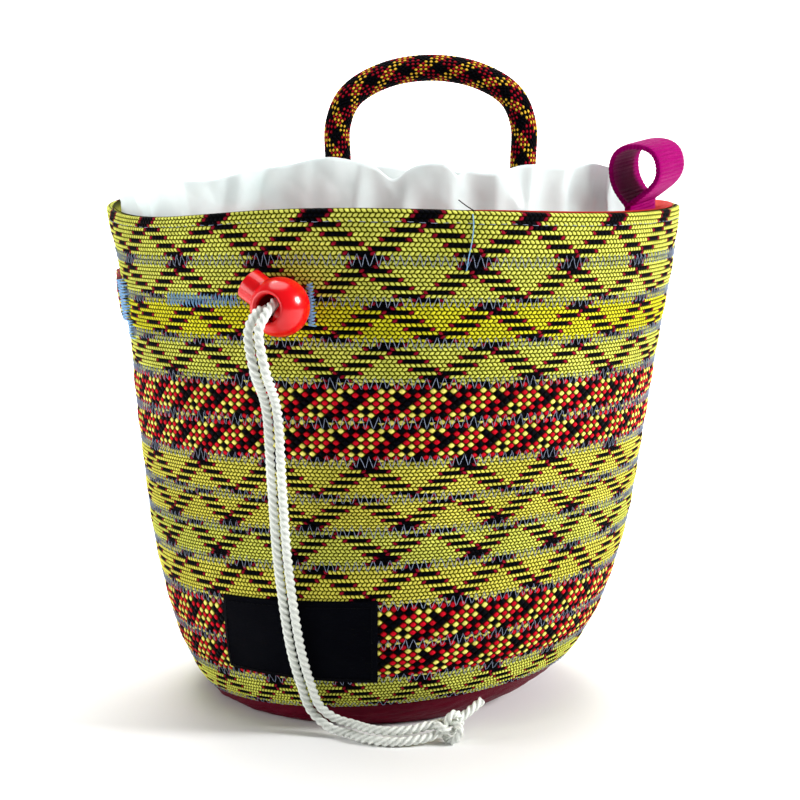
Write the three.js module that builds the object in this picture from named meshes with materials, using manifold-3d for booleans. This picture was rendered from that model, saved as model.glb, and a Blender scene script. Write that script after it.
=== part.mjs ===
// Chalk bag for bouldering, sewn from flattened climbing rope: a bucket of thirteen rope bands with a
// drawstring collar, a rope handle and a ball cord lock. Millimetres, +Z up, standing on Z = 0.
// The front of the bag faces -Y. Azimuths are degrees from the front, positive towards +X.
import * as THREE from 'three';
import { mergeVertices } from 'three/addons/utils/BufferGeometryUtils.js';
import Module from 'manifold-3d';

const wasm = await Module();
wasm.setup();

// Wall of the bag: where the stitched seams lie, from the rim down to the base seam
const WALL_SECTIONS = [
  { height: 209, radius: 119.5 },
  { height: 186, radius: 117.5 },
  { height: 152, radius: 113 },
  { height: 108, radius: 107.5 },
  { height: 72, radius: 102.5 },
  { height: 39, radius: 94 },
  { height: 21, radius: 86 },
  { height: 11, radius: 79.5 },
];
const RIM_HEIGHT = WALL_SECTIONS[0].height;
const BASE_LEAN = 0.083; // rise of the base seam towards +X, as the soft bag sags to its left
const BASE_SHIFT = -2.5; // of the base seam, for the same reason
const RIM_WAVE = { height: 1.4, count: 3, peak: -12 };
const DENTS = [
  { azimuth: 36, down: 118, depth: 1.6, reach: 42 },
  { azimuth: -48, down: 92, depth: 1.2, reach: 36 },
  { azimuth: 128, down: 110, depth: 2.4, reach: 48 },
  { azimuth: -142, down: 128, depth: 2.8, reach: 44 },
];

// Rope bands, sewn edge to edge
const BAND_COUNT = 13;
const BAND_WIDTH = 15.4; // flattened sheath of a 10 mm rope
const HEM_WIDTH = 19; // top band, with its rolled hem
const SEAM_LIFT = { most: 5, seam: 9, reach: 1.7 }; // the lower seams are drawn up, most of all seam 9
const BAND_BULGE = 1.0; // crown of a band over the line of its seams
const BAND_DEPTH = 1.6; // from the line of the seams to the inside of a band
const SEGMENTS = 36;
const FACET_SAG = 0.5; // how far the middle of a facet lies inside the round wall
const GAP = 0.3; // between pieces that touch

// Base and lining
const BASE_THICKNESS = 2;
const BASE_SIDE = 7; // how far the base drops below its seam before it turns under
const CONTACT_RADIUS = 62;
const CONTACT_SHIFT = -12; // the flat of the base lies left of the rim's centre
const LINING_THICKNESS = 1;
const LINING_PEEK = 1.6; // lining edge above the rim

// Drawstring collar: sewn inside the wall, drawn in at the neck, flaring to a ruffled edge
const COLLAR_THICKNESS = 1;
const COLLAR_SEAM_DOWN = 47;
const COLLAR_SECTIONS = [
  { name: 'shoulder', rise: -40, radius: 100, pleat: 1.0, shift: -1 },
  { name: 'neck', rise: -33, radius: 88, pleat: 2.2, shift: -3 },
  { name: 'flare', rise: -12, radius: 95, pleat: 3.6, shift: -6 },
  { name: 'edge', rise: 17, radius: 102, pleat: 4.8, shift: -8 },
];
const COLLAR_LEFT_DROP = 8; // the edge stands lower on the left
const COLLAR_SEGMENTS = 54;

// Loops and label
const HANDLE = { azimuth: 171.5, span: 92, diameter: 13, top: 273.5, spring: 246, foot: 174 };
const HANG_LOOP = { azimuth: 64, width: 32, strap: 1.7, half: 11, tall: 26.5, rise: 0.5, tail: 16, lean: 3 };
const HANG_LOOP_TILT = 5.5; // its back edge stands higher than its front edge
const BRUSH_LOOP = { from: -75, to: -117, top: 29.5, width: 17, thickness: 2.6, slack: 8.8, peak: 0.75 };
const LABEL = { from: -41.3, to: -2.5, top: 151.5, width: 35, thickness: 1 };
const LABEL_SPLAY = 3.7; // degrees its left edge runs out on the way down
const LABEL_SLANT = 2.5; // the lower edge of the label hangs lower at its right end

// Ball cord lock
const LOCK = { azimuth: -19, turn: -9, rise: 32, radius: 11.2, hole: 5.2, bore: 6.5 };
const PLUNGER = { radius: 6.2, travel: 3, reach: 15.8, root: -4.7, chamfer: 0.6 };
const BORE_FLOOR = -8;

// Drawcord: two strands side by side. The route is the middle of the pair, and each row names what
// the pair lies against.
const CORD_DIAMETER = 3.8;
const PAIR_HALF = 2.2;
const CORD_IN_HOLE = 1; // the spring holds the strands to the plunger's side of the hole
const PAIR_TWIST = 1.1; // room that the pair needs in the plunger as it turns from upright to level
const FLOOR_LEAN = new THREE.Vector3(0, -0.8, 0.6); // on the floor one strand leans on the other
const CORD_SIDES = 8;
const CORD_STEPS = 36;
const CORD_ROUTE = [
  { x: -48.1, y: -136.7, z: 152.6, on: 'wall' },
  { x: -44.8, y: -124, z: 137, on: 'wall' },
  { x: -43.8, y: -111.8, z: 106, on: 'wall' },
  { x: -42.4, y: -101, z: 73, on: 'wall' },
  { x: -38.4, y: -94, z: 39, on: 'wall' },
  { x: -34.6, y: -88.5, z: 22, on: 'wall' },
  { x: -30.7, y: -85.5, z: 10.7, on: 'wall' },
  { x: -23.9, y: -86.8, z: 5.3, on: 'floor' },
  { x: -16.4, y: -89.9, z: 3.8, on: 'floor' },
  { x: -11, y: -95, z: 3.7, on: 'floor' },
  { x: -3, y: -99, z: 3.7, on: 'floor' },
  { x: 6.5, y: -99.4, z: 4.2, on: 'floor' },
  { x: 15.5, y: -97.3, z: 5.6, on: 'floor' },
];
const KNOT = { x: 22.6, y: -95.6, z: 6.5, long: 7.2, wide: 6.3, along: new THREE.Vector3(0.94, 0.28, 0.2) };
const TAIL_ROUTE = [
  { x: 28.4, y: -92.2, z: 10.4 },
  { x: 31.8, y: -90.2, z: 12.6 },
  { x: 35.4, y: -88, z: 15 },
];

// Finishes
const FINISH = {
  ropeYellow: { color: 0xc2b51f, roughness: 0.8 },
  ropeSpeckled: { color: 0x7a2a22, roughness: 0.8 },
  base: { color: 0x6a1024, roughness: 0.55 },
  lining: { color: 0xd2463c, roughness: 0.7 },
  collar: { color: 0xe6e9e6, roughness: 0.4 },
  webbing: { color: 0xb0007c, roughness: 0.5 },
  label: { color: 0x07090f, roughness: 0.7 },
  lock: { color: 0xe1000a, roughness: 0.2 },
  cord: { color: 0xebf0e6, roughness: 0.6 },
};
const SPECKLED_BANDS = [5, 6, 11, 12];

const WALL = new THREE.SplineCurve(
  WALL_SECTIONS.map(({ radius, height }) => new THREE.Vector2(radius, height)),
);
const WALL_LENGTH = WALL.getLength();
const UP = new THREE.Vector3(0, 0, 1);
const radians = THREE.MathUtils.degToRad;

/** Level direction away from the bag's axis at an azimuth. */
function outward(azimuth) {
  return new THREE.Vector3(Math.sin(radians(azimuth)), -Math.cos(radians(azimuth)), 0);
}

/** Level direction along the rim at an azimuth, towards larger azimuths. */
function alongRim(azimuth) {
  return new THREE.Vector3(Math.cos(radians(azimuth)), Math.sin(radians(azimuth)), 0);
}

function dentDepth(azimuth, down, radius) {
  return DENTS.reduce((sum, dent) => {
    const turn = THREE.MathUtils.euclideanModulo(azimuth - dent.azimuth + 180, 360) - 180;
    const distance = Math.hypot(radians(turn) * radius, down - dent.down) / dent.reach;
    return sum + dent.depth * Math.exp(-distance * distance);
  }, 0);
}

/** Point on the wall: `down` runs from the rim along the wall, `out` stands off its outer face. */
function wallPoint(azimuth, down, out) {
  const share = THREE.MathUtils.clamp(down / WALL_LENGTH, 0, 1);
  const seat = WALL.getPointAt(share);
  const slope = WALL.getTangentAt(share);
  const beyond = down - share * WALL_LENGTH;
  const radius = seat.x - slope.y * out + slope.x * beyond - dentDepth(azimuth, down, seat.x);
  const point = outward(azimuth).multiplyScalar(radius);
  point.x += BASE_SHIFT * share ** 2;
  const wave = Math.cos(radians(RIM_WAVE.count * (azimuth - RIM_WAVE.peak)));
  point.z = seat.y + slope.x * out + slope.y * beyond
    + point.x * BASE_LEAN * share ** 2
    + RIM_WAVE.height * wave * (1 - share) ** 2;
  return point;
}

/** Point on the base: `share` runs from its seam to the flat, `depth` from its outer face inwards. */
function basePoint(azimuth, share, depth) {
  const seam = wallPoint(azimuth, WALL_LENGTH + GAP / 2, 0);
  const flat = outward(azimuth).multiplyScalar(CONTACT_RADIUS).setComponent(2, 0);
  flat.x += CONTACT_SHIFT;
  const corner = seam.clone().lerp(flat, 0.25).setComponent(2, Math.max(seam.z * 0.15, seam.z - BASE_SIDE));
  const face = new THREE.QuadraticBezierCurve3(seam, corner, flat).getPoint(share);
  const inwards = outward(azimuth).negate().addScaledVector(UP, 0.64).lerp(UP, share).normalize();
  return face.addScaledVector(inwards, depth);
}

function ringOf(segments, pointAt) {
  return Array.from({ length: segments }, (_, i) => pointAt((360 * i) / segments));
}

/**
 * Closed solid through a stack of rings, with its ends joined to each other or capped. Each quad is
 * split on the diagonal that climbs, so both faces of a thin wall fold alike and never cross.
 */
function solidOfRings(rings, endsMeet) {
  const count = rings[0].length;
  const points = rings.flat();
  const faces = [];
  const spans = endsMeet ? rings.length : rings.length - 1;
  for (let k = 0; k < spans; k += 1) {
    const here = k * count;
    const next = ((k + 1) % rings.length) * count;
    for (let i = 0; i < count; i += 1) {
      const j = (i + 1) % count;
      const climbs = points[next + i].z > points[here + i].z;
      faces.push(here + i, here + j, climbs ? next + j : next + i);
      faces.push(climbs ? here + i : here + j, next + j, next + i);
    }
  }
  if (!endsMeet) {
    const last = (rings.length - 1) * count;
    const middles = [rings[0], rings.at(-1)].map((ring) => ring
      .reduce((sum, point) => sum.add(point), new THREE.Vector3()).divideScalar(count));
    points.push(...middles);
    for (let i = 0; i < count; i += 1) {
      const j = (i + 1) % count;
      faces.push(points.length - 2, j, i, points.length - 1, last + i, last + j);
    }
  }
  return solidOf(points, faces);
}

/** Closed slab: `pointAt(across, along, layer)` with layer 0 on one face and 1 on the other. */
function slab(columns, rows, pointAt) {
  const points = [];
  const faces = [];
  const index = (i, j, layer) => (layer * (rows + 1) + j) * (columns + 1) + i;
  const quad = (a, b, c, d) => faces.push(a, b, c, a, c, d);
  for (const layer of [0, 1]) {
    for (let j = 0; j <= rows; j += 1) {
      for (let i = 0; i <= columns; i += 1) points.push(pointAt(i / columns, j / rows, layer));
    }
  }
  for (let j = 0; j < rows; j += 1) {
    for (let i = 0; i < columns; i += 1) {
      quad(index(i, j, 0), index(i, j + 1, 0), index(i + 1, j + 1, 0), index(i + 1, j, 0));
      quad(index(i, j, 1), index(i + 1, j, 1), index(i + 1, j + 1, 1), index(i, j + 1, 1));
    }
    quad(index(0, j, 0), index(0, j, 1), index(0, j + 1, 1), index(0, j + 1, 0));
    quad(index(columns, j, 0), index(columns, j + 1, 0), index(columns, j + 1, 1), index(columns, j, 1));
  }
  for (let i = 0; i < columns; i += 1) {
    quad(index(i, 0, 0), index(i + 1, 0, 0), index(i + 1, 0, 1), index(i, 0, 1));
    quad(index(i, rows, 0), index(i, rows, 1), index(i + 1, rows, 1), index(i + 1, rows, 0));
  }
  return solidOf(points, faces);
}

/** Indexed geometry whose faces look outwards. */
function solidOf(points, faces) {
  const volume = faces.reduce((sum, _, k) => (k % 3 ? sum : sum
    + points[faces[k]].dot(points[faces[k + 1]].clone().cross(points[faces[k + 2]]))), 0);
  const outwardFaces = volume > 0 ? faces : faces.slice().reverse();
  const geometry = new THREE.BufferGeometry().setFromPoints(points);
  geometry.setIndex(outwardFaces);
  geometry.computeVertexNormals();
  return geometry;
}

function tube(points, diameter, sides, steps) {
  const section = new THREE.Shape(
    Array.from({ length: sides }, (_, i) => new THREE.Vector2(
      (diameter / 2) * Math.cos((2 * Math.PI * i) / sides),
      (diameter / 2) * Math.sin((2 * Math.PI * i) / sides),
    )),
  );
  return new THREE.ExtrudeGeometry(section, { steps, extrudePath: new THREE.CatmullRomCurve3(points) });
}

function geometryOf(manifold) {
  const { vertProperties, triVerts } = manifold.getMesh();
  const geometry = new THREE.BufferGeometry();
  geometry.setAttribute('position', new THREE.BufferAttribute(new Float32Array(vertProperties), 3));
  geometry.setIndex(Array.from(triVerts));
  geometry.computeVertexNormals();
  return geometry;
}

function piece(name, geometry, { color, roughness }) {
  const mesh = new THREE.Mesh(geometry, new THREE.MeshStandardMaterial({ color, roughness, metalness: 0 }));
  mesh.name = name;
  return mesh;
}

/** Distance of a seam from the rim along the wall; seam 0 is the rim and the last one the base seam. */
function seamDown(seam) {
  if (seam === 0) return 0;
  if (seam === BAND_COUNT) return WALL_LENGTH;
  const lift = SEAM_LIFT.most * Math.exp(-(((seam - SEAM_LIFT.seam) / SEAM_LIFT.reach) ** 2));
  return HEM_WIDTH + (seam - 1) * BAND_WIDTH - lift;
}

function ropeBand(number) {
  const top = seamDown(number - 1) + (number === 1 ? 0 : GAP / 2);
  const bottom = seamDown(number) - GAP / 2;
  const section = [
    { along: 0, out: number === 1 ? BAND_BULGE * 0.6 : 0 },
    { along: 0.5, out: BAND_BULGE },
    { along: 1, out: 0 },
    { along: 1, out: -BAND_DEPTH },
    { along: 0.5, out: -BAND_DEPTH },
    { along: 0, out: -BAND_DEPTH },
  ];
  const rings = section.map(({ along, out }) => ringOf(
    SEGMENTS, (azimuth) => wallPoint(azimuth, THREE.MathUtils.lerp(top, bottom, along), out),
  ));
  const finish = SPECKLED_BANDS.includes(number) ? FINISH.ropeSpeckled : FINISH.ropeYellow;
  return piece(`rope_band_${String(number).padStart(2, '0')}`, solidOfRings(rings, true), finish);
}

function basePanel() {
  const face = [1, 0.5, 0].map((share) => ringOf(SEGMENTS, (azimuth) => basePoint(azimuth, share, 0)));
  const inside = [0, 0.5, 1].map(
    (share) => ringOf(SEGMENTS, (azimuth) => basePoint(azimuth, share, BASE_THICKNESS)),
  );
  return piece('base_panel', solidOfRings([...face, ...inside], false), FINISH.base);
}

function lining() {
  const skin = (wallOut, baseDepth) => [
    ...[1, 0.5, 0].map((share) => ringOf(SEGMENTS, (azimuth) => basePoint(azimuth, share, baseDepth))),
    ...[12, 11, 9, 6, 3, 1].map(
      (seam) => ringOf(SEGMENTS, (azimuth) => wallPoint(azimuth, seamDown(seam), wallOut)),
    ),
    ringOf(SEGMENTS, (azimuth) => wallPoint(azimuth, -LINING_PEEK, wallOut)),
  ];
  const outer = skin(-BAND_DEPTH - GAP, BASE_THICKNESS + GAP);
  const inner = skin(-BAND_DEPTH - GAP - LINING_THICKNESS, BASE_THICKNESS + GAP + LINING_THICKNESS);
  return piece('lining', solidOfRings([...outer, ...inner.reverse()], false), FINISH.lining);
}

/** Ripple of the collar's gathers round the bag, from -1 to 1. */
function gathers(azimuth) {
  return 0.6 * Math.cos(radians(13 * azimuth + 40)) + 0.4 * Math.cos(radians(21 * azimuth + 115));
}

function drawstringCollar() {
  const seamOut = -BAND_DEPTH - 2 * GAP - LINING_THICKNESS;
  const edgeDrop = (azimuth, rise) => {
    const leftwards = Math.max(0, -Math.sin(radians(azimuth)));
    return rise > 0 ? COLLAR_LEFT_DROP * leftwards ** 2 : 0;
  };
  const ringAt = (row, out) => {
    const { rise, radius, pleat, shift } = COLLAR_SECTIONS[row];
    const below = COLLAR_SECTIONS[Math.max(row - 1, 0)];
    const above = COLLAR_SECTIONS[Math.min(row + 1, COLLAR_SECTIONS.length - 1)];
    const slope = new THREE.Vector2(above.radius - below.radius, above.rise - below.rise).normalize();
    return ringOf(COLLAR_SEGMENTS, (azimuth) => {
      const point = outward(azimuth).multiplyScalar(radius + pleat * gathers(azimuth) + out * slope.y);
      point.x += shift;
      point.z = RIM_HEIGHT + rise - edgeDrop(azimuth, rise) - out * slope.x;
      return point;
    });
  };
  const seamRing = (down) => ringOf(COLLAR_SEGMENTS, (azimuth) => wallPoint(azimuth, down, seamOut));
  const rows = COLLAR_SECTIONS.map((_, row) => row);
  const rings = [
    seamRing(COLLAR_SEAM_DOWN + COLLAR_THICKNESS / 2),
    ...rows.map((row) => ringAt(row, COLLAR_THICKNESS / 2)),
    ...rows.toReversed().map((row) => ringAt(row, -COLLAR_THICKNESS / 2)),
    seamRing(COLLAR_SEAM_DOWN - COLLAR_THICKNESS / 2),
  ];
  return piece('drawstring_collar', solidOfRings(rings, true), FINISH.collar);
}

function carryHandle() {
  const { azimuth, span, diameter, top, spring, foot } = HANDLE;
  const half = span / 2;
  const clear = BAND_BULGE + GAP + diameter / 2;
  const standOff = (down) => {
    const seat = WALL.getPointAt(down / WALL_LENGTH);
    return Math.sqrt((seat.x + clear) ** 2 - half ** 2);
  };
  const at = (side, radial, height) => alongRim(azimuth).multiplyScalar(side)
    .addScaledVector(outward(azimuth), radial).setComponent(2, height);
  const rimStand = standOff(0);
  const leg = (side) => [
    at(side * half, standOff(RIM_HEIGHT - foot), foot),
    at(side * half, rimStand, RIM_HEIGHT),
    at(side * half, rimStand, (RIM_HEIGHT + spring) / 2),
  ];
  const arch = [180, 150, 120, 90, 60, 30, 0].map((angle) => at(
    half * Math.cos(radians(angle)), rimStand, spring + (top - spring) * Math.sin(radians(angle)),
  ));
  const route = [...leg(-1), ...arch, ...leg(1).reverse()];
  return piece('carry_handle', tube(route, diameter, 10, 24), FINISH.ropeSpeckled);
}

/** Outline of the hang loop's strap in its own plane: a drop, moved in by the strap for its inside. */
function dropOutline(inset) {
  const { strap, half, tall, lean } = HANG_LOOP;
  const side = half - inset;
  const crown = tall - inset;
  const middle = tall * 0.6;
  const foot = inset * 2.2;
  const stem = strap - inset * 0.9;
  const path = new THREE.Path();
  path.moveTo(-stem, foot);
  path.bezierCurveTo(lean - side * 0.64, foot + 3.5, lean - side, middle - 7, lean - side, middle);
  path.bezierCurveTo(lean - side, crown - 2, lean - side * 0.5, crown, lean, crown);
  path.bezierCurveTo(lean + side * 0.5, crown, lean + side, crown - 2, lean + side, middle);
  path.bezierCurveTo(lean + side, middle - 7, lean + side * 0.3, foot + 4.5, stem, foot);
  return path.getPoints(6).map(({ x, y }) => [x, y]).reverse();
}

function hangLoop() {
  const { Manifold } = wasm;
  const { azimuth, width, strap, rise, tail } = HANG_LOOP;
  const tailEnd = [[-strap, -tail], [strap, -tail]];
  const strapSolid = Manifold.extrude([[...dropOutline(0), ...tailEnd]], width)
    .subtract(Manifold.extrude([dropOutline(strap)], width));
  const liningIn = BAND_DEPTH + GAP + LINING_THICKNESS;
  const footSeat = WALL.getPointAt((tail - rise) / WALL_LENGTH);
  const cornerRadius = footSeat.x - liningIn - GAP - FACET_SAG;
  const cornerAside = width / 2 + tail * Math.sin(radians(HANG_LOOP_TILT));
  const radial = Math.sqrt(cornerRadius ** 2 - cornerAside ** 2) - strap;
  const loop = piece('hang_loop', geometryOf(strapSolid), FINISH.webbing);
  const out = outward(azimuth);
  const upright = UP.clone().applyAxisAngle(out, radians(HANG_LOOP_TILT));
  const away = out.clone().cross(upright);
  loop.quaternion.setFromRotationMatrix(new THREE.Matrix4().makeBasis(out, upright, away));
  loop.position.copy(out).multiplyScalar(radial).addScaledVector(UP, RIM_HEIGHT + rise)
    .addScaledVector(away, -width / 2);
  return loop;
}

function brushLoop() {
  const { from, to, top, width, thickness, slack, peak } = BRUSH_LOOP;
  const lopsided = Math.log(0.5) / Math.log(peak);
  const geometry = slab(14, 2, (across, along, layer) => {
    const lift = slack * Math.sin(Math.PI * across ** lopsided) ** 2;
    const out = BAND_BULGE + GAP + lift + layer * thickness;
    return wallPoint(THREE.MathUtils.lerp(from, to, across), top + width * along, out);
  });
  return piece('brush_loop', geometry, FINISH.ropeSpeckled);
}

function labelPatch() {
  const { from, to, top, width, thickness } = LABEL;
  const geometry = slab(7, 4, (across, along, layer) => {
    const down = top + (width + LABEL_SLANT * (2 * across - 1)) * along;
    const azimuth = THREE.MathUtils.lerp(from - LABEL_SPLAY * along, to, across);
    return wallPoint(azimuth, down, BAND_BULGE + GAP + layer * thickness);
  });
  return piece('label_patch', geometry, FINISH.label);
}

/** Axes of the cord lock: X presses the plunger out, Z is the cord hole, and the strands lie along Y. */
function lockFrame() {
  const cordAxis = outward(LOCK.azimuth + LOCK.turn);
  const left = alongRim(LOCK.azimuth + LOCK.turn).negate();
  const pressAxis = left.multiplyScalar(Math.cos(radians(LOCK.rise)))
    .addScaledVector(UP, Math.sin(radians(LOCK.rise)));
  const pairAxis = cordAxis.clone().cross(pressAxis);
  const centre = wallPoint(LOCK.azimuth, seamDown(2), LOCK.radius + GAP);
  return { centre, pressAxis, pairAxis, cordAxis };
}

function cordLock() {
  const { Manifold } = wasm;
  const length = 4 * LOCK.radius;
  const alongX = (radius, from, to) => Manifold.cylinder(to - from, radius, radius, 24)
    .rotate([0, 90, 0]).translate([from, 0, 0]);
  const ball = Manifold.sphere(LOCK.radius, 28)
    .subtract(Manifold.cylinder(length, LOCK.hole, LOCK.hole, 20, true))
    .subtract(alongX(LOCK.bore, BORE_FLOOR, length));
  const { radius, travel, reach, root, chamfer } = PLUNGER;
  const strandRoom = CORD_DIAMETER / 2 + GAP;
  const slotFrom = CORD_IN_HOLE - PAIR_TWIST - strandRoom;
  const slotTo = CORD_IN_HOLE + PAIR_TWIST + strandRoom + travel;
  const slotWide = 2 * (PAIR_HALF + strandRoom);
  const tip = Manifold.cylinder(chamfer, radius, radius - chamfer, 24)
    .rotate([0, 90, 0]).translate([reach - chamfer, 0, 0]);
  const slot = Manifold.cube([slotTo - slotFrom, slotWide, length], true)
    .translate([(slotFrom + slotTo) / 2, 0, 0]);
  const plunger = alongX(radius, root, reach - chamfer).add(tip).subtract(slot);
  const { centre, pressAxis, pairAxis, cordAxis } = lockFrame();
  const lock = new THREE.Group();
  lock.add(
    piece('lock_body', geometryOf(ball), FINISH.lock),
    piece('lock_plunger', geometryOf(plunger), FINISH.lock),
  );
  lock.quaternion.setFromRotationMatrix(new THREE.Matrix4().makeBasis(pressAxis, pairAxis, cordAxis));
  lock.position.copy(centre);
  return lock;
}

/** Route of one strand, on one side (+1 or -1) of the middle of the pair. */
function strandRoute(side) {
  const { centre, pressAxis, cordAxis } = lockFrame();
  const atLock = (along, drop, normal) => ({
    point: centre.clone().addScaledVector(pressAxis, CORD_IN_HOLE).addScaledVector(cordAxis, along)
      .addScaledVector(UP, -drop),
    normal,
  });
  const threaded = [
    atLock(-10.6, 0, pressAxis),
    atLock(0, 0, pressAxis),
    atLock(5.2, 0, pressAxis.clone().lerp(UP, 0.35)),
    atLock(8.4, 0.7, pressAxis.clone().lerp(UP, 0.74)),
    atLock(12.4, 2.8, UP.clone().lerp(cordAxis, 0.66)),
    atLock(16.9, 8.5, UP.clone().lerp(cordAxis, 0.85)),
  ];
  const laid = CORD_ROUTE.map(({ x, y, z, on }) => ({
    point: new THREE.Vector3(x, y, z),
    normal: on === 'floor' ? FLOOR_LEAN : new THREE.Vector3(x, y, 0),
  }));
  const rows = [...threaded, ...laid];
  return rows.map(({ point, normal }, i) => {
    const before = rows[Math.max(i - 1, 0)].point;
    const after = rows[Math.min(i + 1, rows.length - 1)].point;
    const across = after.clone().sub(before).cross(normal).normalize();
    return point.clone().addScaledVector(across, side * PAIR_HALF);
  });
}

function drawcord() {
  const strand = (name, side) => piece(
    name, tube(strandRoute(side), CORD_DIAMETER, CORD_SIDES, CORD_STEPS), FINISH.cord,
  );
  const knot = piece('drawcord_knot', mergeVertices(knotGeometry()), FINISH.cord);
  const towards = TAIL_ROUTE.map(({ x, y, z }) => new THREE.Vector3(x, y, z));
  knot.quaternion.setFromUnitVectors(new THREE.Vector3(1, 0, 0), KNOT.along.clone().normalize());
  knot.position.set(KNOT.x, KNOT.y, KNOT.z);
  const tail = piece('drawcord_tail', tube(towards, CORD_DIAMETER, CORD_SIDES, 5), FINISH.cord);
  return [strand('drawcord_left', 1), strand('drawcord_right', -1), knot, tail];
}

function knotGeometry() {
  const ball = new THREE.IcosahedronGeometry(1, 2).scale(KNOT.long, KNOT.wide, KNOT.wide);
  ball.deleteAttribute('normal');
  ball.deleteAttribute('uv');
  return ball;
}

const bag = new THREE.Group();
for (let number = 1; number <= BAND_COUNT; number += 1) bag.add(ropeBand(number));
bag.add(basePanel(), lining(), drawstringCollar());
bag.add(carryHandle(), hangLoop(), brushLoop(), labelPatch());
bag.add(cordLock(), ...drawcord());

export default bag;
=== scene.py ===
"""Chalk bag sewn from flattened climbing rope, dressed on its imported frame.

Metres, +Z up, standing on Z = 0 with the front towards -Y. Azimuths are radians from the front, positive
towards +X. Down runs from the rim along the wall, and out stands off the line of the seams.
"""

import logging
import math
from collections.abc import Callable, Sequence
from dataclasses import dataclass, field
from enum import Enum

import bmesh
import bpy
import numpy as np
from mathutils import Matrix, Vector

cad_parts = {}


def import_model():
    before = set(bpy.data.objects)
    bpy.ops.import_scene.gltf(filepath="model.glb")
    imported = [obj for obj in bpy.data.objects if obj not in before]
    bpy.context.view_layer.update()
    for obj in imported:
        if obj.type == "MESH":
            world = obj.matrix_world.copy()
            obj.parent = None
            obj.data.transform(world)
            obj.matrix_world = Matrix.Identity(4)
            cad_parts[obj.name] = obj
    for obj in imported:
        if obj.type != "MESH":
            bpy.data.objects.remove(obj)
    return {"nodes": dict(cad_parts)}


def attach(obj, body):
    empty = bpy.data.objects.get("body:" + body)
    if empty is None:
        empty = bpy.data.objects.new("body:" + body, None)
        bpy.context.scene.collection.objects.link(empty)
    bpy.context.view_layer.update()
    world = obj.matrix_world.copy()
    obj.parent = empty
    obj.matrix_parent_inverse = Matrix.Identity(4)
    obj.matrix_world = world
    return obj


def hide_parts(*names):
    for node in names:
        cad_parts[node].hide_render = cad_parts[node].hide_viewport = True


LOG = logging.getLogger("chalk_bag")
TURN = 2 * math.pi
WELD = 2e-6
UP = np.array([0.0, 0.0, 1.0])
BASE_THICKNESS = 0.002
LINING_THICKNESS = 0.001
BAND_ROUNDING = 2.6
# Width of three touching strands, in strands
THREE_STRANDS = 2.155

Array = np.ndarray
Form = Callable[[Array, Array], Array]
Colour = tuple[float, float, float]
Point = tuple[float, float, float]


def srgb(red: int, green: int, blue: int) -> Colour:
    """Linear colour of a screen colour given in steps of 255.

    Args:
        red: Red, from 0 to 255.
        green: Green.
        blue: Blue.

    Returns:
        The linear colour.
    """
    shares = np.array([red, green, blue]) / 255
    low, high = shares / 12.92, ((shares + 0.055) / 1.055) ** 2.4
    return tuple(float(value) for value in np.where(shares <= 0.04045, low, high))


class Body(Enum):
    """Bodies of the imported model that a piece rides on."""

    BAG = "bag"
    PLUNGER = "plunger"


class Slot(Enum):
    """Material slots of the record."""

    ROPE_YELLOW = "rope_yellow"
    ROPE_SPECKLED = "rope_speckled"
    BASE = "base_fabric"
    LINING = "lining_fabric"
    COLLAR = "collar_fabric"
    WEBBING = "webbing"
    LABEL = "label_fabric"
    CORD = "cord_white"
    LOCK = "lock_plastic"


class Yarn(Enum):
    """Dyed yarns of the rope sheath, as linear colours."""

    YELLOW = srgb(230, 222, 96)
    LIME = srgb(222, 224, 104)
    SUN = srgb(226, 220, 48)
    BLACK = srgb(2, 2, 9)
    CRIMSON = srgb(142, 16, 42)
    RED = srgb(200, 14, 36)
    LEMON = srgb(240, 230, 116)
    WINE = srgb(156, 12, 38)
    GOLD = srgb(228, 182, 60)


# Small maths


def outward(azimuth: Array | float) -> Array:
    """Level direction away from the bag's axis."""
    return np.stack([np.sin(azimuth), -np.cos(azimuth), np.zeros_like(azimuth)], axis=-1)


def along_rim(azimuth: Array | float) -> Array:
    """Level direction along the rim, towards larger azimuths."""
    return np.stack([np.cos(azimuth), np.sin(azimuth), np.zeros_like(azimuth)], axis=-1)


def unit(vectors: Array) -> Array:
    """Vectors of length one in the same directions."""
    return vectors / np.linalg.norm(vectors, axis=-1, keepdims=True)


def scatter(*keys: Array) -> Array:
    """Steady scatter of values from 0 to 1 over whole-number keys."""
    mixed = sum(np.asarray(key) * (12.9898 + 65.233 * place) for place, key in enumerate(keys))
    return np.modf(np.abs(np.sin(mixed) * 43758.5453))[0]


def lengths_along(path: Array) -> Array:
    """Distance of each point of a path from its start."""
    return np.concatenate([[0.0], np.cumsum(np.linalg.norm(np.diff(path, axis=0), axis=1))])


def sample(places: Array, runs: Array, rows: Array) -> Array:
    """Rows read off at places along their runs."""
    return np.stack([np.interp(places, runs, column) for column in rows.T], axis=-1)


def wrapped(azimuth: Array, middle: float) -> Array:
    """Azimuths measured from a middle one, within half a turn."""
    return (azimuth - middle + math.pi) % TURN - math.pi


def hermite(start: Array, end: Array, leave: Array, arrive: Array, share: Array) -> Array:
    """Cubic from start to end, with its slopes where it leaves and arrives."""
    bend, twist = 3 * (end - start) - 2 * leave - arrive, 2 * (start - end) + leave + arrive
    return start + leave * share + bend * share**2 + twist * share**3


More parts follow.
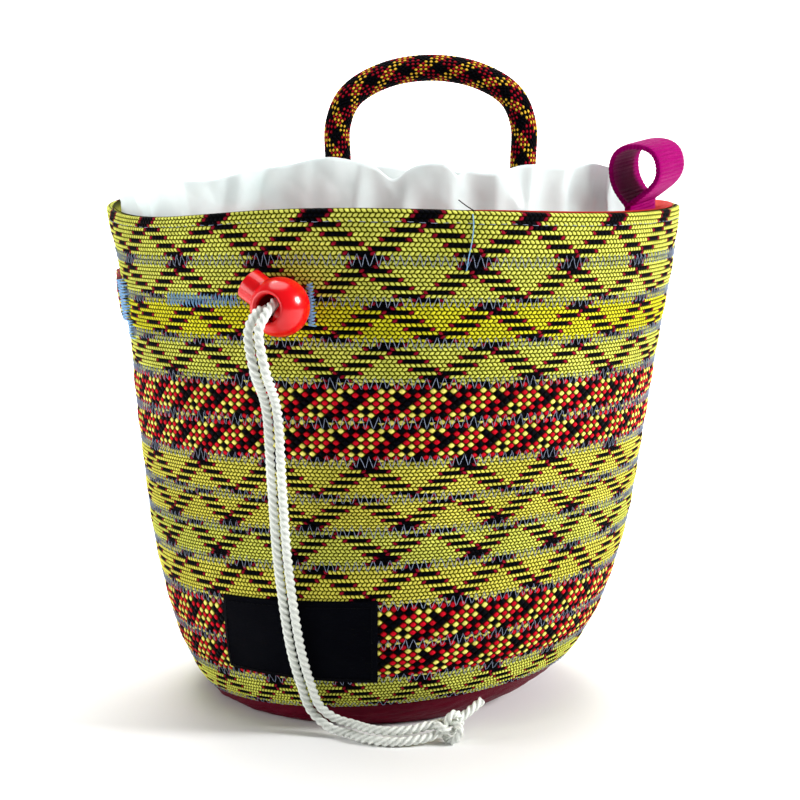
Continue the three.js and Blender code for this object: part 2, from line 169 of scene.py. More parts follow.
def spline_through(points: Array, steps: int) -> Array:
    """Centripetal spline through points, evenly spaced by length.

    Args:
        points: The points to pass through, one per row.
        steps: Number of even steps along the whole spline.

    Returns:
        steps + 1 points.
    """
    ends = np.vstack([2 * points[0] - points[1], points, 2 * points[-1] - points[-2]])
    gaps = np.sqrt(np.linalg.norm(np.diff(ends, axis=0), axis=1))
    share = np.linspace(0, 1, 41)[:, None]
    spans = []
    for k in range(len(points) - 1):
        before, start, end, after = ends[k:k + 4]
        first, middle, last = gaps[k:k + 3]
        leave = ((start - before) / first - (end - before) / (first + middle) + (end - start) / middle) * middle
        arrive = ((end - start) / middle - (after - start) / (middle + last) + (after - end) / last) * middle
        spans.append(hermite(start, end, leave, arrive, share)[:-1])
    fine = np.vstack([*spans, points[-1:]])
    runs = lengths_along(fine)
    return sample(np.linspace(0, runs[-1], steps + 1), runs, fine)


def carried_normals(path: Array, start: Array) -> Array:
    """Normals along a path, carried from a first one without turning about the path.

    Args:
        path: Points of the path.
        start: Rough normal at the first point.

    Returns:
        One normal per point.
    """
    tangents = unit(np.gradient(path, axis=0))
    normals = np.empty_like(path)
    normal = start
    for k, tangent in enumerate(tangents):
        normal = unit(normal - tangent * float(normal @ tangent))
        normals[k] = normal
    return normals


@dataclass(frozen=True)
class Crumple:
    """Creases of thin film or slack cloth: folded waves in scattered directions."""

    seed: int
    coarse: float
    octaves: int = 4
    soft: float = 0.0
    waves: int = 3
    finer: float = 1.9
    fainter: float = 0.55

    def height(self, run: Array, across: Array) -> Array:
        """Height of the creases.

        Args:
            run: Place along the cloth in metres.
            across: Place across the cloth in metres.

        Returns:
            Heights from about -1 to 1.
        """
        rng = np.random.default_rng(self.seed)
        total, weight = np.zeros_like(run), 1.0
        for octave in range(self.octaves):
            size = self.coarse / self.finer**octave
            for _ in range(self.waves):
                heading, phase = rng.uniform(0, TURN, 2)
                sway, sway_phase = rng.uniform(0.6, 1.6), rng.uniform(0, TURN)
                along = run * math.cos(heading) + across * math.sin(heading)
                aside = across * math.cos(heading) - run * math.sin(heading)
                wave = np.sin(TURN * along / size + phase + sway * np.sin(TURN * aside / (2.3 * size) + sway_phase))
                total += weight * (1 - 2 * np.hypot(wave, self.soft)) / self.waves
            weight *= self.fainter
        return total


# Meshes


@dataclass
class ClothGrid:
    """Fine grid that is laid on a form and welded where the form meets itself.

    run and width are the sizes of its UV map: metres, or picks and rows of a braid.
    """

    name: str
    columns: int
    rows: int
    run: float = 1.0
    width: float = 1.0

    def lay(
        self,
        form: Form,
        paint: Form | None = None,
        height: Form | None = None,
        split: Form | None = None,
        closed: bool = True,
    ) -> bpy.types.Object:
        """Build the grid as an object.

        Args:
            form: Gives positions from shares of the run and of the width.
            paint: Gives linear yarn colours at face centres.
            height: Gives the relief from 0 to 1 at points.
            split: Says at face centres which quads fold on their second diagonal.
            closed: True where the form closes on itself, or is to be closed by caps.

        Returns:
            The new object.
        """
        work = bmesh.new()
        bmesh.ops.create_grid(work, x_segments=self.columns, y_segments=self.rows, size=0.5)
        if split is not None:
            self._fold(work, split)
        mesh = bpy.data.meshes.new(self.name)
        work.to_mesh(mesh)
        work.free()
        share, across = self._flat(mesh.vertices, "co")
        self._map(mesh, share, across)
        if paint is not None:
            tints = mesh.attributes.new("yarn", "FLOAT_COLOR", "FACE")
            colours = paint(*self._flat(mesh.polygons, "center"))
            tints.data.foreach_set("color", np.c_[colours, np.ones(len(colours))].astype(np.float32).ravel())
        if height is not None:
            relief = mesh.attributes.new("relief", "FLOAT", "POINT")
            relief.data.foreach_set("value", height(share, across).astype(np.float32))
        mesh.vertices.foreach_set("co", form(share, across).astype(np.float32).ravel())
        self._close(mesh, closed)
        mesh.shade_smooth()
        return link(self.name, mesh)

    @staticmethod
    def _flat(items: bpy.types.bpy_prop_collection, kind: str) -> tuple[Array, Array]:
        """Shares of the run and of the width at vertices or faces of the flat grid.

        Args:
            items: Vertices or faces of the flat grid.
            kind: Name of their position.

        Returns:
            Both shares.
        """
        flat = np.empty(len(items) * 3, dtype=np.float32)
        items.foreach_get(kind, flat)
        shares = flat.reshape(-1, 3).astype(float) + 0.5
        return shares[:, 0], shares[:, 1]

    @staticmethod
    def _fold(work: bmesh.types.BMesh, split: Form) -> None:
        """Split the quads on the diagonals that are asked for.

        Args:
            work: The flat grid.
            split: As in lay.
        """
        centres = np.array([face.calc_center_median() for face in work.faces]) + 0.5
        second = split(centres[:, 0], centres[:, 1])
        faces = list(work.faces)
        for method, wanted in (("FIXED", ~second), ("ALTERNATE", second)):
            chosen = [face for face, want in zip(faces, wanted) if want]
            bmesh.ops.triangulate(work, faces=chosen, quad_method=method)

    def _map(self, mesh: bpy.types.Mesh, share: Array, across: Array) -> None:
        """Write the UV map.

        Args:
            mesh: The grid.
            share: Shares of the run, per vertex.
            across: Shares of the width.
        """
        corners = np.empty(len(mesh.loops), dtype=np.int32)
        mesh.loops.foreach_get("vertex_index", corners)
        flat = np.stack([share[corners] * self.run, across[corners] * self.width], axis=1)
        mesh.uv_layers.new(name="laid").data.foreach_set("uv", flat.astype(np.float32).ravel())

    @staticmethod
    def _close(mesh: bpy.types.Mesh, closed: bool) -> None:
        """Weld the grid where it meets itself, cap open ends and turn the faces outwards.

        Args:
            mesh: The laid grid.
            closed: As in lay.
        """
        work = bmesh.new()
        work.from_mesh(mesh)
        bmesh.ops.remove_doubles(work, verts=work.verts, dist=WELD)
        if closed:
            bmesh.ops.holes_fill(work, edges=[edge for edge in work.edges if edge.is_boundary], sides=0)
            bmesh.ops.recalc_face_normals(work, faces=work.faces)
        work.to_mesh(mesh)
        work.free()


@dataclass
class Tube:
    """Tube along a path: a thread, cord or rope. flat is the size of its UV map."""

    name: str
    path: Array
    normals: Array
    sides: int
    flat: tuple[float, float] = (1.0, 1.0)

    def lay(
        self,
        radius: Form,
        paint: Form | None = None,
        height: Form | None = None,
        split: Form | None = None,
    ) -> bpy.types.Object:
        """Build the tube.

        Args:
            radius: Gives the radius from shares of the length and of the turn about the path.
            paint: As in ClothGrid.lay.
            height: As in ClothGrid.lay.
            split: As in ClothGrid.lay.

        Returns:
            The new object.
        """
        last = len(self.path) - 1
        tangents = unit(np.gradient(self.path, axis=0))
        if np.allclose(self.path[0], self.path[-1]):
            tangents[0] = tangents[-1] = unit(self.path[1] - self.path[-2])
        normals = unit(self.normals - tangents * np.sum(self.normals * tangents, axis=1, keepdims=True))
        sideways = np.cross(tangents, normals)

        def form(share: Array, turn: Array) -> Array:
            """Position on the tube."""
            at = np.rint(share * last).astype(int)
            angle = (turn % 1) * TURN
            spoke = normals[at] * np.cos(angle)[:, None] + sideways[at] * np.sin(angle)[:, None]
            return self.path[at] + spoke * radius(share, turn)[:, None]

        grid = ClothGrid(self.name, last, self.sides, *self.flat)
        return grid.lay(form, paint, height, split)


def link(name: str, mesh: bpy.types.Mesh) -> bpy.types.Object:
    """Object of a mesh, placed in the scene.

    Args:
        name: Name of the object.
        mesh: Its mesh.

    Returns:
        The new object.
    """
    piece = bpy.data.objects.new(name, mesh)
    bpy.context.scene.collection.objects.link(piece)
    return piece


def settle(name: str, work: bmesh.types.BMesh) -> bpy.types.Object:
    """Object of a finished bmesh, which is freed.

    Args:
        name: Name of the object and its mesh.
        work: The finished bmesh.

    Returns:
        The new object.
    """
    mesh = bpy.data.meshes.new(name)
    work.to_mesh(mesh)
    work.free()
    return link(name, mesh)


def spun(name: str, profile: Sequence[tuple[float, float]], steps: int) -> bpy.types.Object:
    """Closed outline spun round the Z axis.

    Args:
        name: Name of the object.
        profile: Radius and height of each point of the outline.
        steps: Steps in the full turn.

    Returns:
        The new object.
    """
    work = bmesh.new()
    points = [work.verts.new((radius, 0.0, height)) for radius, height in profile]
    rim = [work.edges.new(pair) for pair in zip(points, points[1:] + points[:1])]
    bmesh.ops.spin(
        work, geom=points + rim, cent=(0, 0, 0), axis=(0, 0, 1), angle=TURN, steps=steps, use_merge=True
    )
    bmesh.ops.remove_doubles(work, verts=work.verts, dist=WELD)
    bmesh.ops.recalc_face_normals(work, faces=work.faces)
    return settle(name, work)


def cut(piece: bpy.types.Object, cutter: bpy.types.Object) -> None:
    """Cut one object out of another and delete the cutter.

    Args:
        piece: What is cut.
        cutter: What is taken away from it.
    """
    knife = piece.modifiers.new("cut", "BOOLEAN")
    knife.operation, knife.solver, knife.object = "DIFFERENCE", "EXACT", cutter
    result = bpy.data.meshes.new_from_object(piece.evaluated_get(bpy.context.evaluated_depsgraph_get()))
    piece.modifiers.remove(knife)
    piece.data = result
    bpy.data.objects.remove(cutter)


# Materials


class NodeBench:
    """Node tree under construction, with short calls for nodes and links."""

    def __init__(self, tree: bpy.types.NodeTree) -> None:
        """Start on a tree."""
        self.tree = tree

    def add(self, kind: str, **settings: object) -> bpy.types.Node:
        """New node with its properties set.

        Args:
            kind: Type of the node.
            settings: Its properties.

        Returns:
            The node.
        """
        node = self.tree.nodes.new(kind)
        for key, value in settings.items():
            setattr(node, key, value)
        return node

    def join(self, source: bpy.types.NodeSocket, target: bpy.types.NodeSocket) -> None:
        """Link two sockets."""
        self.tree.links.new(source, target)

    def feed(self, target: bpy.types.NodeSocket, value: object) -> None:
        """Link a socket to an input, or set the input to a plain value.

        Args:
            target: The input.
            value: A socket or a plain value.
        """
        if isinstance(value, bpy.types.NodeSocket):
            self.join(value, target)
        else:
            target.default_value = value

    def maths(self, operation: str, *values: object) -> bpy.types.NodeSocket:
        """Result of a Math node.

        Args:
            operation: What to reckon.
            values: Sockets or numbers.

        Returns:
            The result's socket.
        """
        node = self.add("ShaderNodeMath", operation=operation)
        for place, value in enumerate(values):
            self.feed(node.inputs[place], value)
        return node.outputs[0]

    def spread(self, value: object, low: float, high: float, to_low: float, to_high: float) -> bpy.types.NodeSocket:
        """Value moved from one range to another.

        Args:
            value: Socket or number.
            low: Start of its range.
            high: End of its range.
            to_low: Start of the new range.
            to_high: End of the new range.

        Returns:
            The result's socket.
        """
        node = self.add("ShaderNodeMapRange")
        for place, setting in enumerate((value, low, high, to_low, to_high)):
            self.feed(node.inputs[place], setting)
        return node.outputs[0]

    def blend(self, share: object, first: object, second: object, kind: str = "MIX") -> bpy.types.NodeSocket:
        """Mix of two colours.

        Args:
            share: Share of the second colour.
            first: Socket or colour.
            second: Socket or colour.
            kind: How they mix.

        Returns:
            The result's socket.
        """
        node = self.add("ShaderNodeMix", data_type="RGBA", blend_type=kind)
        self.feed(node.inputs["Factor"], share)
        colours = [socket for socket in node.inputs if socket.type == "RGBA"]
        for socket, value in zip(colours, (first, second)):
            self.feed(socket, value if isinstance(value, bpy.types.NodeSocket) else (*value, 1.0))
        return [socket for socket in node.outputs if socket.type == "RGBA"][0]

    def effect(self, effect: "Effect", **inputs: float) -> bpy.types.Node:
        """Node of a shared effect, with its inputs set.

        Args:
            effect: The effect.
            inputs: Values of the group's inputs.

        Returns:
            The group's node.
        """
        node = self.add("ShaderNodeGroup", node_tree=effect_group(effect))
        for name, value in inputs.items():
            node.inputs[name].default_value = value
        return node

    def noise(self, scale: object, detail: float, vector: bpy.types.NodeSocket) -> bpy.types.NodeSocket:
        """Value of a Noise Texture node.

        Args:
            scale: Socket or number.
            detail: Octaves of the noise.
            vector: Where it is read.

        Returns:
            The result's socket.
        """
        node = self.add("ShaderNodeTexNoise")
        self.feed(node.inputs["Scale"], scale)
        node.inputs["Detail"].default_value = detail
        self.join(vector, node.inputs["Vector"])
        return node.outputs[0]


class Effect(Enum):
    """Node groups that several materials share."""

    FIBRE = "fibre_grain"
    WEAVE = "thread_weave"
    SCUFF = "soft_scuff"
    PICKS = "slanting_picks"
    LOZENGES = "lozenge_picks"


def effect_group(effect: Effect) -> bpy.types.NodeTree:
    """Node group of a shared effect, built on first use.

    Args:
        effect: The effect that is wanted.

    Returns:
        Its node tree.
    """
    if effect.value in bpy.data.node_groups:
        return bpy.data.node_groups[effect.value]
    tree = bpy.data.node_groups.new(effect.value, "ShaderNodeTree")
    bench = NodeBench(tree)
    inputs = {
        Effect.FIBRE: {"Scale": 1500.0},
        Effect.WEAVE: {"Along": 1000.0, "Across": 1000.0},
        Effect.SCUFF: {"Scale": 40.0},
        Effect.PICKS: {"Low": 0.08, "High": 0.7, "Pinch": 1.3, "Lean": 0.45},
        Effect.LOZENGES: {"Low": 0.16, "High": 0.7, "Pinch": 1.0},
    }[effect]
    for name, value in inputs.items():
        tree.interface.new_socket(name, in_out="INPUT", socket_type="NodeSocketFloat").default_value = value
    for name in ("Tint", "Height"):
        tree.interface.new_socket(name, in_out="OUTPUT", socket_type="NodeSocketFloat")
    given, result = bench.add("NodeGroupInput"), bench.add("NodeGroupOutput")
    flat = bench.add("ShaderNodeSeparateXYZ")
    bench.join(bench.add("ShaderNodeUVMap", uv_map="laid").outputs[0], flat.inputs[0])
    if effect in (Effect.PICKS, Effect.LOZENGES):
        along, across = flat.outputs[0], flat.outputs[1]
        if effect is Effect.PICKS:
            odd = bench.maths("FLOORED_MODULO", bench.maths("FLOOR", across), 2.0)
            side = bench.maths("SUBTRACT", 1.0, bench.maths("MULTIPLY", odd, 2.0))
            slant = bench.maths("MULTIPLY", bench.maths("SUBTRACT", bench.maths("FRACT", across), 0.5), side)
            along = bench.maths("ADD", along, bench.maths("MULTIPLY", odd, 0.5))
            places = (bench.maths("ADD", along, bench.maths("MULTIPLY", slant, given.outputs["Lean"])), across)
        else:
            places = tuple(
                bench.maths("ADD", bench.maths("MULTIPLY", bench.maths(sign, along, across), 0.5), 0.5)
                for sign in ("ADD", "SUBTRACT")
            )
        domes = [
            bench.maths("SUBTRACT", 1.0, bench.maths("POWER", bench.maths("ABSOLUTE", bench.maths(
                "SUBTRACT", bench.maths("MULTIPLY", bench.maths("FLOORED_MODULO", place, 1.0), 2.0), 1.0)), 2.0))
            for place in places
        ]
        grain = bench.maths("MULTIPLY", bench.maths("POWER", domes[0], given.outputs["Pinch"]), domes[1])
        height = bench.maths("POWER", grain, 0.5)
        # Painted shade: the colour factor falls from the crown of each pick to dark in the grooves around it
        edge = bench.add("ShaderNodeMapRange", interpolation_type="SMOOTHSTEP")
        for value, socket in zip((grain, given.outputs["Low"], given.outputs["High"]), edge.inputs):
            bench.join(value, socket)
        tone_and_shade = edge.outputs[0]
    elif effect is Effect.WEAVE:
        warp = bench.maths("SINE", bench.maths("MULTIPLY", flat.outputs[0], given.outputs[0]))
        weft = bench.maths("SINE", bench.maths("MULTIPLY", flat.outputs[1], given.outputs[1]))
        woven = bench.maths("MULTIPLY", warp, weft)
        height = bench.maths("ADD", bench.maths("ABSOLUTE", woven), bench.maths("MULTIPLY", weft, 0.3))
        # Painted shade in the dips of the weave and painted light on its crowns
        tone_and_shade = bench.spread(woven, -1.0, 1.0, 0.82, 1.08)
    else:
        place = bench.add("ShaderNodeTexCoord").outputs["Object"]
        height = bench.noise(given.outputs[0], 3.0 if effect is Effect.FIBRE else 5.0, place)
        tone_and_shade = bench.spread(height, 0.25, 0.75, 0.82, 1.12)
    bench.join(tone_and_shade, result.inputs[0])
    bench.join(height, result.inputs[1])
    return tree


@dataclass(frozen=True)
class Finish:
    """Finish of one material: plain values of its shader and the effects that vary it, with painted shade in grooves
    and weave dips.
    """

    name: str
    colour: Colour
    roughness: float
    gloss: float = 0.5
    glow_through: float = 0.0
    fibre: float = 1500.0
    weave: tuple[float, float] | None = None
    bump: float = 0.3
    depth: float = 0.0002
    scuff: float = 30.0
    mottle: float = 1.0
    picks: Effect | None = None
    # Paints shade into the hollows of the relief attribute
    grooves: bool = False
    # Share of the colour left where the painted shade of the grooves is darkest
    groove_shade: float = 0.4

    def material(self) -> bpy.types.Material:
        """Material of the finish, built on first use.

        Returns:
            The material.
        """
        if self.name in bpy.data.materials:
            return bpy.data.materials[self.name]
        material = bpy.data.materials.new(self.name)
        material.use_nodes = True
        bench = NodeBench(material.node_tree)
        shader = next(node for node in material.node_tree.nodes if node.type == "BSDF_PRINCIPLED")
        for socket, value in (
            ("Specular IOR Level", self.gloss),
            ("Subsurface Weight", self.glow_through),
            ("Subsurface Radius", (1.0, 1.0, 1.0)),
            ("Subsurface Scale", 0.004),
        ):
            shader.inputs[socket].default_value = value
        tone_and_shade, height = self._surface(bench)
        grey = bench.add("ShaderNodeCombineColor")
        # Painted shade in the grooves between yarns, where blue fades first
        blue = tone_and_shade if self.picks is None else bench.maths("POWER", tone_and_shade, 1.8)
        for shade, socket in zip((tone_and_shade, tone_and_shade, blue), grey.inputs):
            bench.join(shade, socket)
        varied = bench.blend(1.0, self._colour(bench), grey.outputs[0], "MULTIPLY")
        bench.join(varied, shader.inputs["Base Color"])
        rough = bench.spread(tone_and_shade, 0.8, 1.15, min(self.roughness * 1.15, 1.0), self.roughness * 0.88)
        bench.join(rough, shader.inputs["Roughness"])
        bump = bench.add("ShaderNodeBump")
        bump.inputs["Strength"].default_value = self.bump
        bump.inputs["Distance"].default_value = self.depth
        bench.join(height, bump.inputs["Height"])
        bench.join(bump.outputs[0], shader.inputs["Normal"])
        return material

    def _surface(self, bench: NodeBench) -> tuple[bpy.types.NodeSocket, bpy.types.NodeSocket]:
        """Colour factor and height sockets of the finish's effects: random tone, with painted shade in grooves and
        weave dips.

        Args:
            bench: The material's nodes.

        Returns:
            Both sockets.
        """
        fibre = bench.effect(Effect.FIBRE, Scale=self.fibre)
        scuff = bench.effect(Effect.SCUFF, Scale=self.scuff)
        tone_and_shade = bench.maths("MULTIPLY", fibre.outputs["Tint"], scuff.outputs["Tint"])
        if self.mottle < 1:
            tone_and_shade = bench.spread(tone_and_shade, 0.0, 1.0, 1 - self.mottle, 1.0)
        height = fibre.outputs["Height"]
        if self.weave is not None:
            # The weave paints shade in its dips and light on its crowns
            weave = bench.effect(Effect.WEAVE, Along=TURN / self.weave[0], Across=TURN / self.weave[1])
            tone_and_shade = bench.maths("MULTIPLY", tone_and_shade, weave.outputs["Tint"])
            height = bench.maths("ADD", bench.maths("MULTIPLY", height, 0.3), weave.outputs["Height"])
        if self.picks is not None:
            # Painted shade in the grooves between picks
            grain = bench.effect(self.picks)
            tone_and_shade = bench.maths("MULTIPLY", tone_and_shade, bench.spread(grain.outputs["Tint"], 0.0, 1.0, self.groove_shade, 1.0))
            height = bench.maths("ADD", bench.maths("MULTIPLY", height, 0.25), grain.outputs["Height"])
        elif self.grooves:
            # Painted shade: the colour darkens into the grooves between the cord's strands
            relief = bench.add("ShaderNodeAttribute", attribute_name="relief").outputs["Fac"]
            tone_and_shade = bench.maths("MULTIPLY", tone_and_shade, bench.spread(relief, 0.0, 0.7, self.groove_shade, 1.0))
        return tone_and_shade, height

    def _colour(self, bench: NodeBench) -> bpy.types.NodeSocket:
        """Colour of the bare finish: its yarns, or one dye with faint clouds.

        Args:
            bench: The material's nodes.

        Returns:
            The colour's socket.
        """
        if self.picks is not None:
            return bench.add("ShaderNodeAttribute", attribute_name="yarn").outputs["Color"]
        place = bench.add("ShaderNodeTexCoord").outputs["Object"]
        cloud = bench.spread(bench.noise(9.0, 2.0, place), 0.3, 0.7, 0.0, 1.0)
        return bench.blend(cloud, tuple(value * (1 - 0.1 * self.mottle) for value in self.colour), self.colour)


# The yarn and cord finishes paint shade into their grooves
HERRINGBONE_YARN = Finish(
    "herringbone_yarn", Yarn.YELLOW.value, 0.6, gloss=0.03, fibre=2600.0, bump=0.8, depth=0.0004,
    picks=Effect.PICKS, groove_shade=0.06,
)
LOZENGE_YARN = Finish(
    "lozenge_yarn", Yarn.RED.value, 0.55, gloss=0.03, fibre=2600.0, bump=0.8, depth=0.0004,
    picks=Effect.LOZENGES, groove_shade=0.05,
)
SEAM_THREAD = Finish("seam_thread", srgb(142, 154, 178), 0.5, gloss=0.1, fibre=4000.0)
TACK_THREAD = Finish("tack_thread", srgb(138, 186, 230), 0.6, gloss=0.1, fibre=4000.0)
BASE_CLOTH = Finish("base_cloth", srgb(96, 2, 30), 0.42, gloss=0.06, weave=(0.0009, 0.0009), bump=0.35)
LINING_CLOTH = Finish("lining_cloth", srgb(210, 48, 40), 0.6, gloss=0.1, weave=(0.0011, 0.0011))
COLLAR_FILM = Finish(
    "collar_film", srgb(206, 226, 224), 0.34, gloss=0.2, glow_through=0.52, fibre=300.0, bump=0.01, scuff=9.0,
    mottle=0.12,
)
WEBBING = Finish("loop_webbing", srgb(156, 0, 102), 0.5, gloss=0.015, weave=(0.0015, 0.0012), bump=0.6)
LABEL_CLOTH = Finish("label_cloth", srgb(2, 3, 9), 0.7, gloss=0.03, weave=(0.0006, 0.0008), bump=0.4)
DARK_THREAD = Finish("dark_thread", srgb(4, 5, 9), 0.7, gloss=0.04, fibre=4000.0)
CORD_YARN = Finish(
    "cord_yarn", srgb(242, 246, 238), 0.5, gloss=0.2, fibre=2200.0, bump=0.3, grooves=True, groove_shade=0.7
)
LOCK_PLASTIC = Finish("lock_plastic", srgb(218, 0, 4), 0.07, gloss=0.05, fibre=260.0, bump=0.02, scuff=60.0)


def dress(
    piece: bpy.types.Object,
    finish: Finish,
    body: Body = Body.BAG,
    stands_for: Sequence[str] = (),
) -> bpy.types.Object:
    """Give a piece its material, body and the CAD nodes it stands for.

    Args:
        piece: The new piece.
        finish: Finish of its one material.
        body: Body that it rides on.
        stands_for: CAD nodes that it hides.

    Returns:
        The same piece.
    """
    piece.data.materials.clear()
    piece.data.materials.append(finish.material())
    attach(piece, body.value)
    if stands_for:
        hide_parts(*stands_for)
    LOG.info("%s: %d faces on %s", piece.name, len(piece.data.polygons), body.value)
    return piece


def thicken(piece: bpy.types.Object, thickness: float, offset: float = -1.0) -> bpy.types.Object:
    """Give a sheet its thickness with a Solidify modifier.

    Args:
        piece: The sheet.
        thickness: Its thickness.
        offset: Side it grows to, from -1 to 1.

    Returns:
        The same sheet.
    """
    wall = piece.modifiers.new("thickness", "SOLIDIFY")
    wall.thickness, wall.offset = thickness, offset
    return piece


# Wall of the bag


@dataclass(frozen=True)
class Dent:
    """Shallow hollow where the soft wall gives."""

    azimuth: float
    down: float
    depth: float
    reach: float


@dataclass(frozen=True)
class RimLift:
    """Stretch where the rim stands up or sags, fading down the wall."""

    azimuth: float
    height: float
    fade: int
    reach: float = 0.42


@dataclass
class BagWall:
    """Form of the bag's wall and base.

    It is that of the part's source, apart from the rim's lifts, the dents at the rim and the base's reach in front.
    """

    sections: tuple[tuple[float, float], ...] = (
        (0.209, 0.1195), (0.186, 0.1175), (0.152, 0.113), (0.108, 0.1075),
        (0.072, 0.1025), (0.039, 0.094), (0.021, 0.086), (0.011, 0.0795),
    )
    base_lean: float = 0.083
    base_shift: float = -0.0025
    wave_height: float = 0.0014
    wave_count: int = 3
    wave_peak: float = math.radians(-12)
    rim_lifts: tuple[RimLift, ...] = (RimLift(-1.85, 0.0034, 4), RimLift(-0.86, -0.0026, 16))
    dents: tuple[Dent, ...] = (
        Dent(math.radians(36), 0.118, 0.0016, 0.042),
        Dent(math.radians(-48), 0.092, 0.0012, 0.036),
        Dent(math.radians(128), 0.110, 0.0024, 0.048),
        Dent(math.radians(-142), 0.128, 0.0028, 0.044),
        Dent(math.radians(-88), 0.0, -0.0022, 0.024),
        Dent(math.radians(-84), 0.040, 0.0022, 0.026),
        Dent(math.radians(88), 0.008, -0.0017, 0.040),
    )
    band_count: int = 13
    band_width: float = 0.0154
    hem_width: float = 0.019
    seam_lift: float = 0.005
    lifted_seam: int = 9
    lift_reach: float = 1.7
    band_bulge: float = 0.001
    band_depth: float = 0.0016
    gap: float = 0.0003
    base_side: float = 0.007
    base_corner: float = 0.25
    base_tuck: float = 0.15
    seam_slant: float = 0.64
    contact_radius: float = 0.062
    contact_shift: float = -0.012
    front_reach: float = 0.009
    runs: Array = field(init=False)
    profile: Array = field(init=False)
    slopes: Array = field(init=False)

    def __post_init__(self) -> None:
        """Work out the profile through the sections, by length."""
        knots = np.array([(radius, height) for height, radius in self.sections])
        ends = np.vstack([knots[:1], knots, knots[-1:]])
        share = np.linspace(0, 1, 201)[:, None]
        spans = []
        for k in range(len(knots) - 1):
            before, start, end, after = ends[k:k + 4]
            spans.append(hermite(start, end, (end - before) / 2, (after - start) / 2, share)[:-1])
        self.profile = np.vstack([*spans, knots[-1:]])
        self.runs = lengths_along(self.profile)
        self.slopes = unit(np.gradient(self.profile, self.runs, axis=0))

    @property
    def length(self) -> float:
        """Length of the wall from the rim to the base seam."""
        return float(self.runs[-1])

    @property
    def rim_height(self) -> float:
        """Height of the rim."""
        return self.sections[0][0]

    @property
    def stand_off(self) -> float:
        """Stand-off of what lies on the bands."""
        return self.band_bulge + self.gap

    @property
    def lining_face(self) -> float:
        """Distance of the lining's inner face inside the line of the seams, with a gap."""
        return self.band_depth + 2 * self.gap + LINING_THICKNESS

    def seam(self, number: int) -> float:
        """Place of a seam down the wall: 0 is the rim and the last one the base seam.

        Args:
            number: Number of the seam.

        Returns:
            Its place down the wall.
        """
        if number == 0:
            return 0.0
        if number == self.band_count:
            return self.length
        lift = self.seam_lift * math.exp(-(((number - self.lifted_seam) / self.lift_reach) ** 2))
        return self.hem_width + (number - 1) * self.band_width - lift

    def radius(self, down: Array | float) -> Array:
        """Radius of the wall at a place down it."""
        return np.interp(down, self.runs, self.profile[:, 0])

    def point(self, azimuth: Array | float, down: Array | float, out: Array | float) -> Array:
        """Points on or off the wall.

        Args:
            azimuth: Azimuths.
            down: Places down the wall.
            out: Distances off the line of the seams, outwards.

        Returns:
            One point per row.
        """
        azimuth, down, out = np.broadcast_arrays(*(np.asarray(value, dtype=float) for value in (azimuth, down, out)))
        share = np.clip(down / self.length, 0, 1)
        run = share * self.length
        seat = [np.interp(run, self.runs, self.profile[:, axis]) for axis in (0, 1)]
        slope = [np.interp(run, self.runs, self.slopes[:, axis]) for axis in (0, 1)]
        beyond = down - run
        radius = seat[0] - slope[1] * out + slope[0] * beyond - self._dent(azimuth, down, seat[0])
        x = np.sin(azimuth) * radius + self.base_shift * share**2
        wave = np.cos(self.wave_count * (azimuth - self.wave_peak))
        z = seat[1] + slope[0] * out + slope[1] * beyond
        z = z + x * self.base_lean * share**2 + self.wave_height * wave * (1 - share) ** 2
        for lift in self.rim_lifts:
            near = np.exp(-((wrapped(azimuth, lift.azimuth) / lift.reach) ** 2))
            z = z + lift.height * near * (1 - share) ** lift.fade
        return np.stack([x, -np.cos(azimuth) * radius, z], axis=-1)

    def _dent(self, azimuth: Array, down: Array, radius: Array) -> Array:
        """Depth of the dents at a place on the wall.

        Args:
            azimuth: Azimuths.
            down: Places down the wall.
            radius: Radii there.

        Returns:
            Depths.
        """
        depth = np.zeros_like(radius)
        for dent in self.dents:
            away = np.hypot(wrapped(azimuth, dent.azimuth) * radius, down - dent.down) / dent.reach
            depth = depth + dent.depth * np.exp(-(away**2))
        return depth

    def base_point(self, azimuth: Array, share: Array, depth: Array | float) -> Array:
        """Points on the base.

        Args:
            azimuth: Azimuths.
            share: From 0 at the base seam to 1 at the edge of the flat, and to 2 at its middle.
            depth: Distance inwards from the outer face.

        Returns:
            One point per row.
        """
        seam = self.point(azimuth, self.length + self.gap / 2, 0.0)
        reach = self.contact_radius + self.front_reach * np.maximum(0, np.cos(azimuth)) ** 2
        flat = outward(azimuth) * reach[:, None]
        flat[:, 0] += self.contact_shift
        corner = seam + (flat - seam) * self.base_corner
        corner[:, 2] = np.maximum(seam[:, 2] * self.base_tuck, seam[:, 2] - self.base_side)
        bent = np.clip(share, 0, 1)[:, None]
        face = seam * (1 - bent) ** 2 + corner * 2 * bent * (1 - bent) + flat * bent**2
        middle = np.array([self.contact_shift, 0.0, 0.0])
        face = face + (middle - face) * np.clip(share - 1, 0, 1)[:, None]
        inwards = (UP * self.seam_slant - outward(azimuth)) * (1 - bent) + UP * bent
        return face + unit(inwards) * np.broadcast_to(depth, share.shape)[:, None]


# Braids of the rope


